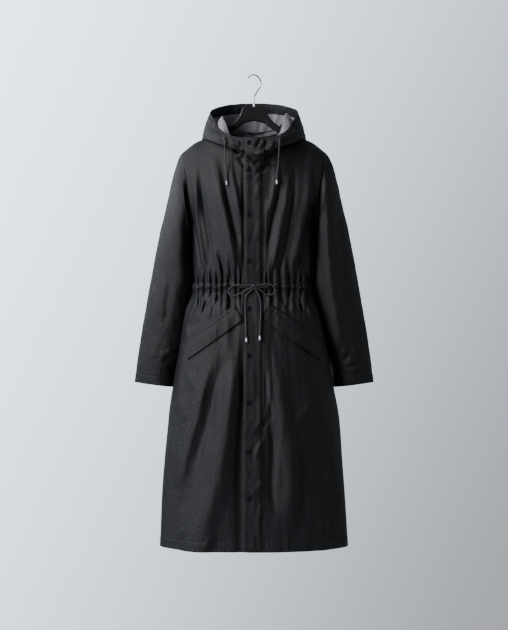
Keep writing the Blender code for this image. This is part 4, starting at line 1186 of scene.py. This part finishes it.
# How close the sleeve's inner side hangs to the body, by its rings from the armhole down.
CLEAR = [None, None, 1.5, 1.5, 1.5, 1.5, 1.5, 2.0, 2.0, 2.0, 2.0, 2.0, 2.0]
# How much wider than the solid each sleeve hangs outside, from the armhole and by the cuff.
WIDER = {"left": (0.5, 4.5), "right": (3.0, 5.0)}
# The largest value of the curve that the sleeve's front follows, which it is divided by.
CREST_PEAK = 0.4786
# Moves the back of a sleeve to other unevenness than its front.
BACK_SHIFT = 500.0
SLEEVE_SIDES = 100


def beside(side, drop, y):
    """The body's distance from the centre line at a depth y behind its side seam."""
    share = np.clip(y / curve(OUTLINE, drop, "back"), 0, 1) ** (1 / ROUNDNESS)
    return side_edge(side, max(drop, UNDERARM)) * math.sqrt(1 - share)


def sleeve(side, around, along):
    """Rings of a sleeve: angles round it, by rows from the armhole to the cuff."""
    out = "left" if side < 0 else "right"
    turn = np.arange(around) / around * 360
    sweep = np.where(turn <= 180, turn, 360 - turn)
    face = np.where(turn <= 180, -1.0, 1.0)
    share = (1 - np.cos(np.radians(sweep))) / 2
    depth = np.sin(np.radians(sweep))
    # In front the sleeve's crest is nearer to the body.
    crest = share**0.8 * (1 - share) ** 0.376 / CREST_PEAK
    depth = np.where(face < 0, crest, depth)
    tip = mix(shoulder_drop(SHOULDER_TIP), UNDERARM, share)
    seam_depth = ARM_DEPTH * np.sin(np.radians(sweep))
    rows = [np.stack([curve(ARMHOLE, sweep, out) + 3 * GAP, face * seam_depth, tip], -1)]
    for number, (ring, tuck, clear) in enumerate(zip(SLEEVE, TUCKS[1:], CLEAR[1:]), 1):
        inner = ring.bottom
        if clear is not None:
            near = beside(side, ring.bottom_drop, ring.set + tuck) + clear
            inner = min(inner, max(near, inner - (9 if number > 10 else 26)))
        wider = mix(*WIDER[out], (number / len(SLEEVE)) ** 2)
        x = mix(ring.top + wider * smooth(number / 3), inner, share)
        y = ring.set + face * ring.depth * depth + tuck * share**2
        rows.append(np.stack([x, y, mix(ring.top_drop, ring.bottom_drop, share)], -1))
    points = through(np.array(rows).reshape(len(rows), -1), along).reshape(len(along), around, 3)
    return points * (side, 1, 1)


SLEEVE_ROWS = np.concatenate([np.linspace(0, 11.3, 140), np.linspace(11.33, 12, 26)])
for side, out in ((-1, "left"), (1, "right")):
    points = sleeve(side, SLEEVE_SIDES, SLEEVE_ROWS)
    middle = np.broadcast_to(points.mean(1, keepdims=True), points.shape)
    x, y, drop = np.moveaxis(points, -1, 0)
    normal = normals_of(points, middle)
    facing = np.abs(normal[..., 1]) ** FACING_POWER
    total = ridges(x, drop, SLEEVE_LINES[out]) * facing
    wide = np.where(y < middle[..., 1], x, x + BACK_SHIFT)
    total += 0.9 * rumple(wide + 0.25 * side * drop, drop, 17, 80, 61) * facing
    total += 0.5 * rumple(wide, drop, 9, 22, 62) + 0.25 * rumple(wide, drop, 5.5, 6, 63)
    edge = points[-1, :, 2]
    up = edge[None, :] - drop
    along = arc_along(points)
    total += 0.7 * puckers(along, up - CUFF, 9, 65 + side) + 0.6 * smooth((CUFF - up) / 2.5)
    total -= 0.5 * bell((up - CUFF) / 1.4)
    total -= 0.8 * bell((np.arange(len(points))[:, None] - 1.5) / 1.6)
    total *= np.minimum(1.0, np.arange(len(points)) / 3)[:, None]
    points = pushed(points, total, middle)
    _, normals = sheet("sleeve_" + out, points, middle, closed=True)
    sew(points, normals, [int(np.abs(up.mean(1) - CUFF).argmin())])

# ---------------------------------------------------------------- hood


def hood(side, turn, step):
    """Places on the hood: step 0 is its rim, 1 where it turns under, and 2 the neck seam."""
    turn, step = np.broadcast_arrays(np.asarray(turn, float), np.asarray(step, float))
    rim = np.stack([curve(HOOD, turn, "rim_" + axis) for axis in ("x", "y", "drop")], -1)
    fold = np.stack([curve(HOOD, turn, "fold_" + axis) for axis in ("x", "y", "drop")], -1)
    angle = np.radians(turn)
    out = NECK_X * np.sin(angle)
    level = np.zeros(turn.shape)
    front = body("front", 1, across_of(1, out, level), level)
    behind = body("back", 1, across_of(1, out, level), level)
    neck = np.where((turn <= 90)[..., None], front, behind)
    neck = neck + np.stack([1.5 * np.sin(angle), -1.5 * np.cos(angle), -2.0 + 0 * angle], -1)
    upper = (step <= 1)[..., None]
    points = np.where(upper, mix(rim, fold, step[..., None]), mix(fold, neck, step[..., None] - 1))
    bulge = (3 + 15 * smooth((turn - 90) / 90)) * np.sin(np.pi * np.clip(step, 0, 1))
    under = -2.5 * np.sin(np.pi * np.clip(step - 1, 0, 1)) * np.sin(angle)
    points = points + np.stack([bulge * np.sin(angle), -bulge * np.cos(angle), under], -1)
    return points * (side, 1, 1)


def round_hood(turns, first, last, rows):
    """Rows round the neck, from the first turn by the viewer's left to the other side."""
    steps = [mix(first(turns), last(turns), k / (rows - 1)) for k in range(rows)]
    half = [hood(-1, turns, step) for step in steps]
    other = [hood(1, turns, step) for step in steps]
    return np.stack([np.concatenate([a, b[-2::-1]]) for a, b in zip(half, other)])


def facing_step(turn):
    gap = np.linalg.norm(hood(1, turn, 1.0) - hood(1, turn, 0.0), axis=-1)
    return FACING / gap


def constant(value):
    return lambda turn: value + 0.0 * turn


def all_round(turns):
    """The turns of round_hood's places, counted on past the back to 360."""
    return np.concatenate([turns, 360 - turns[-2::-1]])[None, :]


HOOD_TURNS = np.concatenate([np.linspace(0, 60, 76), np.linspace(61.5, 180, 80)])
OUTER_ROWS = 50
UNDER_ROWS = 26
INSIDE = (0.0, 25.0, 150.0)
outer = round_hood(HOOD_TURNS, constant(0.0), constant(1.0), OUTER_ROWS)
under = round_hood(HOOD_TURNS, constant(1.0), constant(2.0), UNDER_ROWS)
points = np.concatenate([outer, under[1:]])
middle = np.broadcast_to(INSIDE, points.shape)
x, y, drop = np.moveaxis(points, -1, 0)
normal = normals_of(points, middle)
front_facing = smooth(-normal[..., 1] * 1.6) * (y < 40)
turn = all_round(HOOD_TURNS)
step = np.concatenate([np.linspace(0, 1, OUTER_ROWS), np.linspace(1, 2, UNDER_ROWS)[1:]])[:, None]
# About how far round the hood and how far in from its rim a place is.
around, depth = turn * 2.2, step * 110
on_top = smooth((1.06 - step) / 0.08)
total = ridges(x, drop, HOOD_LINES + COLLAR_LINES) * front_facing * on_top
total += (0.8 + 1.2 * smooth((y - 20) / 60)) * rumple(around, depth, 24, 34, 71) * on_top
total += 0.45 * rumple(around, depth, 9, 12, 72) + 0.22 * rumple(around, depth, 5, 5, 73)
total += 2.2 * smooth((y - 60) / 50) * np.sin(turn / 6.5) * smooth((step - 0.45) / 0.4) * on_top
total -= 0.6 * bell((depth - 14) / 1.8) * on_top
points = pushed(points, total, middle)
_, normals = sheet("hood", points, middle)
RIM_SEAM_ROW = 7
sew(points, normals, [RIM_SEAM_ROW])

FACING_ROWS = 16
facing = round_hood(HOOD_TURNS, constant(0.01), facing_step, FACING_ROWS)
middle = np.broadcast_to(INSIDE, facing.shape)
around, depth = turn * 2, np.linspace(0, FACING, FACING_ROWS)[:, None]
wrinkle = 0.9 * rumple(around, depth, 10, 30, 75) + 0.5 * rumple(around, depth, 5, 16, 76)
facing = pushed(facing, -1.6 - (1.2 + wrinkle) * smooth(depth / 8), middle)
sheet("hood_facing", facing, middle, 0.0)

# The lining runs down the hood's wall and back over the layer below it, to the neck seam. At
# both sides of the neck it stands up in a soft lobe behind the hood's edge.
LINING_TURNS = np.linspace(34, 180, 100)
LOBES = table("x y width depth height", (-80, -22, 21, 34, 27), (86, -12, 24, 34, 33))
WALL_ROWS = 26
LOWER_ROWS = 30
wall = round_hood(LINING_TURNS, facing_step, constant(0.97), WALL_ROWS)
lower = round_hood(LINING_TURNS, constant(1.03), constant(1.9), LOWER_ROWS)
around, depth = all_round(LINING_TURNS) * 2, np.arange(WALL_ROWS)[:, None] * 4.2
wrinkle = 4.4 * np.abs(rumple(around + 1.6 * depth, depth - 0.5 * around, 17, 30, 81))
wrinkle += 2.0 * rumple(around - 1.2 * depth, depth, 11, 16, 82)
wrinkle = np.maximum(wrinkle, 0) * smooth((105 - depth) / 40)
wall = pushed(wall, -4.4 - wrinkle, np.broadcast_to(INSIDE, wall.shape))
x, y, _ = np.moveaxis(lower, -1, 0)
rise = 5.0 + 0 * x
for lobe in LOBES:
    reach = ((x - lobe.x) / lobe.width) ** 2 + ((y - lobe.y) / lobe.depth) ** 2
    rise = np.maximum(rise, lobe.height * bell(reach))
rise += 2.0 * np.abs(rumple(x, y, 9, 14, 83)) + 1.4 * rumple(x + y, y, 6, 9, 84)
share = np.linspace(0, 1, LOWER_ROWS)[:, None]
rise *= smooth(share / 0.4) * smooth((1 - share) / 0.1)
lower[..., 2] -= 1.2 + 1.4 * smooth(share / 0.3) + rise
lining = np.concatenate([wall, lower])
middle = np.broadcast_to((0, 25, 90), lining.shape)
sheet("hood_lining", lining, middle, 0.0, LINING)

# ---------------------------------------------------------------- neck lining and loop

out = np.linspace(0, NECK_X - 6, 50)[:, None]
half = [body("back", side, across_of(1, out, 0.0).T, np.linspace(1, 22, 24)[:, None]) for side in (-1, 1)]
neck = np.concatenate([half[0][:, :0:-1], half[1]], axis=1)
upright = centre_line(neck)
x, _, drop = np.moveaxis(neck, -1, 0)
crumple = 1.2 * np.abs(rumple(x, drop, 12, 16, 85)) + 0.5 * rumple(x, drop, 6, 8, 86)
neck = pushed(neck, -2.4 - crumple, upright)
sheet("neck_lining", neck, upright, 0.6 * LINER, LINING)

first, last, top, width = LOOP
u, v = np.meshgrid(np.linspace(0, 1, 60), np.linspace(0, 1, 9))
sag = np.sin(math.pi * u)
y = LOOP_Y - sag - 0.8 * np.sin(math.pi * v) - 0.3 * rumple(u * 44, v, 9, 1, 87)
points = np.stack([mix(first, last, u), y, top + width * v + LOOP_SAG * sag], -1)
behind = points + (0, 20, 0)
grid("neck_loop_cloth", points, BLACK, ["neck_loop"], 0.8 * LINER, False, behind)

stitches("stitching")

# ---------------------------------------------------------------- hanger and hook


def rounded(across, up, count, power):
    """Places round a rounded oblong."""
    angles = np.arange(count) * math.tau / count
    c, s = np.cos(angles), np.sin(angles)
    return across * np.sign(c) * np.abs(c) ** power, up * np.sign(s) * np.abs(s) ** power


HANGER_TIP = 181.0
HANGER_SIDES = 36
# How far in from its tips the hanger is rounded off.
TIP_ROUNDING = 5.0


def hanger():
    """A loft through upright sections, rounded off at both shoulders."""
    places = np.concatenate([np.linspace(0, HANGER_TIP - 0.4, 120), [HANGER_TIP - 0.1, HANGER_TIP]])
    loops = []
    for x in np.concatenate([-places[:0:-1], places]):
        top, low, thick = (curve(HANGER, abs(x), column) for column in ("top", "low", "thick"))
        into = max(abs(x) - (HANGER_TIP - TIP_ROUNDING), 0)
        shrink = math.sqrt(max(1 - (into / (TIP_ROUNDING + 0.02)) ** 2, 0.0004))
        y, up = rounded(thick * shrink, (low - top) / 2 * shrink, HANGER_SIDES, 0.5)
        loops.append(np.stack([np.full(HANGER_SIDES, x), y, (top + low) / 2 + up], -1))
    return np.array(loops)


rings("hanger_body", hanger(), PLASTIC, ["hanger"], sharp=60)

# Angles round the crook from its top, and where the wire runs below it, as (out, drop).
CROOK_ANGLES = range(-60, 121, 12)
STEM = [(13.5, 37.0), (8.0, 46.0), (2.6, 54.5), (0.5, 60.0), (0.0, 66.0), (0.0, 84.7)]


def hook_line():
    """The middle of the hook's wire: round the crook, then down the stem."""
    radius = CROOK + WIRE / 2
    angles = np.radians(CROOK_ANGLES)
    line = [*zip(radius * np.sin(angles), CROOK - radius * np.cos(angles)), *STEM]
    turn = math.radians(HOOK_TURN)
    return [(out * math.sin(turn), out * math.cos(turn), drop) for out, drop in line]


tube("hook_wire", hook_line(), WIRE, CHROME, ["hook"], 6, 6)
END_WAY = (-0.43, -0.25, 0.87)
END = [(-0.2, 1.8), (0.8, 1.75), (1.7, 1.2), (2.1, 0.3)]
turned("hook_end", hook_line()[0], END_WAY, END, CHROME, [], 24)
COLLAR_PLACE = (0, 0, 78.6)
COLLAR = [(0.0, 1.9), (0.4, 3.1), (1.4, 3.3), (5.6, 3.3), (6.4, 3.0), (6.6, 1.9)]
turned("hook_collar", COLLAR_PLACE, (0, 0, 1), COLLAR, CHROME, [], 32)

# ---------------------------------------------------------------- cords, eyelets, tips and knot

angles = np.arange(14) * math.tau / 14
RING = [(GAP + EYELET_WIRE * (1 + math.cos(a)), EYELET_RADIUS + EYELET_WIRE * math.sin(a)) for a in angles]
for name, (place, way) in EYELETS.items():
    turned(name + "_ring", place, way, RING, DARK_METAL, [name], 36, True)

for cord, name in TIPPED.items():
    before, end = (np.array(place) for place in ROUTES[cord][-2:])
    width, length = TIP
    profile = [(GAP + share * length, part * width / 2) for share, part in TIP_OUTLINE]
    turned(name + "_cap", end, end - before, profile, SILVER, [name], 32)

# The knot: the cord wound twice round itself and once across.
KNOT_LINE = [
    (-5.6, -80.2, 569.6), (-3.0, -83.6, 568.8), (1.2, -84.4, 570.4), (3.6, -82.8, 574.6),
    (2.4, -80.4, 577.0), (-1.6, -79.6, 576.6), (-3.6, -81.4, 573.2), (-2.8, -84.0, 570.2),
    (0.6, -85.2, 569.4), (3.9, -84.2, 571.4), (4.4, -82.2, 574.6), (1.8, -81.2, 577.2),
    (-2.6, -81.6, 577.0), (-5.0, -81.9, 575.0),
]
knot = tube("waist_knot_wrap", KNOT_LINE, CORD, CORDED, ["waist_knot"], 5)

for name, route in ROUTES.items():
    obj = tube(name + "_braid", route, CORD, CORDED, [name])
    length = float(np.linalg.norm(np.diff(metres(through(route, 60)), axis=0), axis=-1).sum())

# ---------------------------------------------------------------- stage, lights and camera

CAMERA = (0.0, -3.2, -0.6467)
LENS = 67.72


def area_light(name, place, target, size, power, colour):
    data = bpy.data.lights.new(name, "AREA")
    data.shape = "RECTANGLE"
    data.size, data.size_y = size
    data.energy = power
    data.color = colour
    obj = linked(name, data)
    obj.location = place
    obj.rotation_euler = (Vector(target) - Vector(place)).to_track_quat("-Z", "Y").to_euler()
    obj.visible_camera = False


COOL = (0.97, 0.985, 1.0)
area_light("key", (-2.6, -2.05, 0.05), (0, 0, -0.62), (1.2, 2.1), 72, COOL)
area_light("rim", (-2.3, 1.7, 0.5), (0, 0, -0.5), (1.2, 2.0), 22, COOL)
area_light("fill", (3.1, -0.6, -0.2), (0, 0, -0.6), (1.2, 2.0), 10, (0.94, 0.97, 1.0))
area_light("top", (-2.1, -1.0, 1.3), (0, 0, -0.1), (1.0, 1.0), 50, (0.98, 0.99, 1.0))


def room(camera_sees, light):
    """A pale room: its walls as the camera sees them, and the dimmer light that it gives."""
    world = bpy.data.worlds.new("room")
    bpy.context.scene.world = world
    world.use_nodes = True
    tree = world.node_tree
    way = add(tree, "SeparateXYZ", {0: add(tree, "TexCoord").outputs["Generated"]}).outputs
    # The walls are lightest up at the viewer's left.
    lean = combined(tree, "MULTIPLY_ADD", way["Z"], 0.47, combined(tree, "MULTIPLY", way["X"], -1.0))
    shade = combined(tree, "POWER", ramp(tree, lean, -0.32, 0.32), 1.6)
    seen = tree.nodes["Background"]
    connect(tree, seen, {"Color": between(tree, shade, *camera_sees)})
    dim = add(tree, "Background", {"Color": between(tree, ramp(tree, way["Y"], 0.1, 0.9), *light)})
    ray = add(tree, "LightPath").outputs["Is Camera Ray"]
    chosen = add(tree, "MixShader", {0: ray, 1: dim.outputs[0], 2: seen.outputs[0]})
    connect(tree, tree.nodes["World Output"], {"Surface": chosen.outputs[0]})


room(((0.46, 0.48, 0.52), (2.9, 3.4, 4.2)), ((0.045, 0.05, 0.058), (0.3, 0.32, 0.35)))

FLOOR_RADIUS = 0.85
FLOOR_Z = -1.78
floor_mesh = bpy.data.meshes.new("floor")
bm = bmesh.new()
bmesh.ops.create_circle(bm, cap_ends=True, segments=96, radius=FLOOR_RADIUS)
bm.to_mesh(floor_mesh)
bm.free()
floor = linked("floor", floor_mesh)
floor.location = (0, 0, FLOOR_Z)
floor_material, *_ = new_material("pale_floor", (0.72, 0.74, 0.76), 0.6)
floor_mesh.materials.append(floor_material)

camera_data = bpy.data.cameras.new("camera")
camera_data.lens = LENS
camera = linked("camera", camera_data)
camera.location = CAMERA
camera.rotation_euler = (math.pi / 2, 0, 0)
bpy.context.scene.camera = camera

bpy.context.view_layer.update()
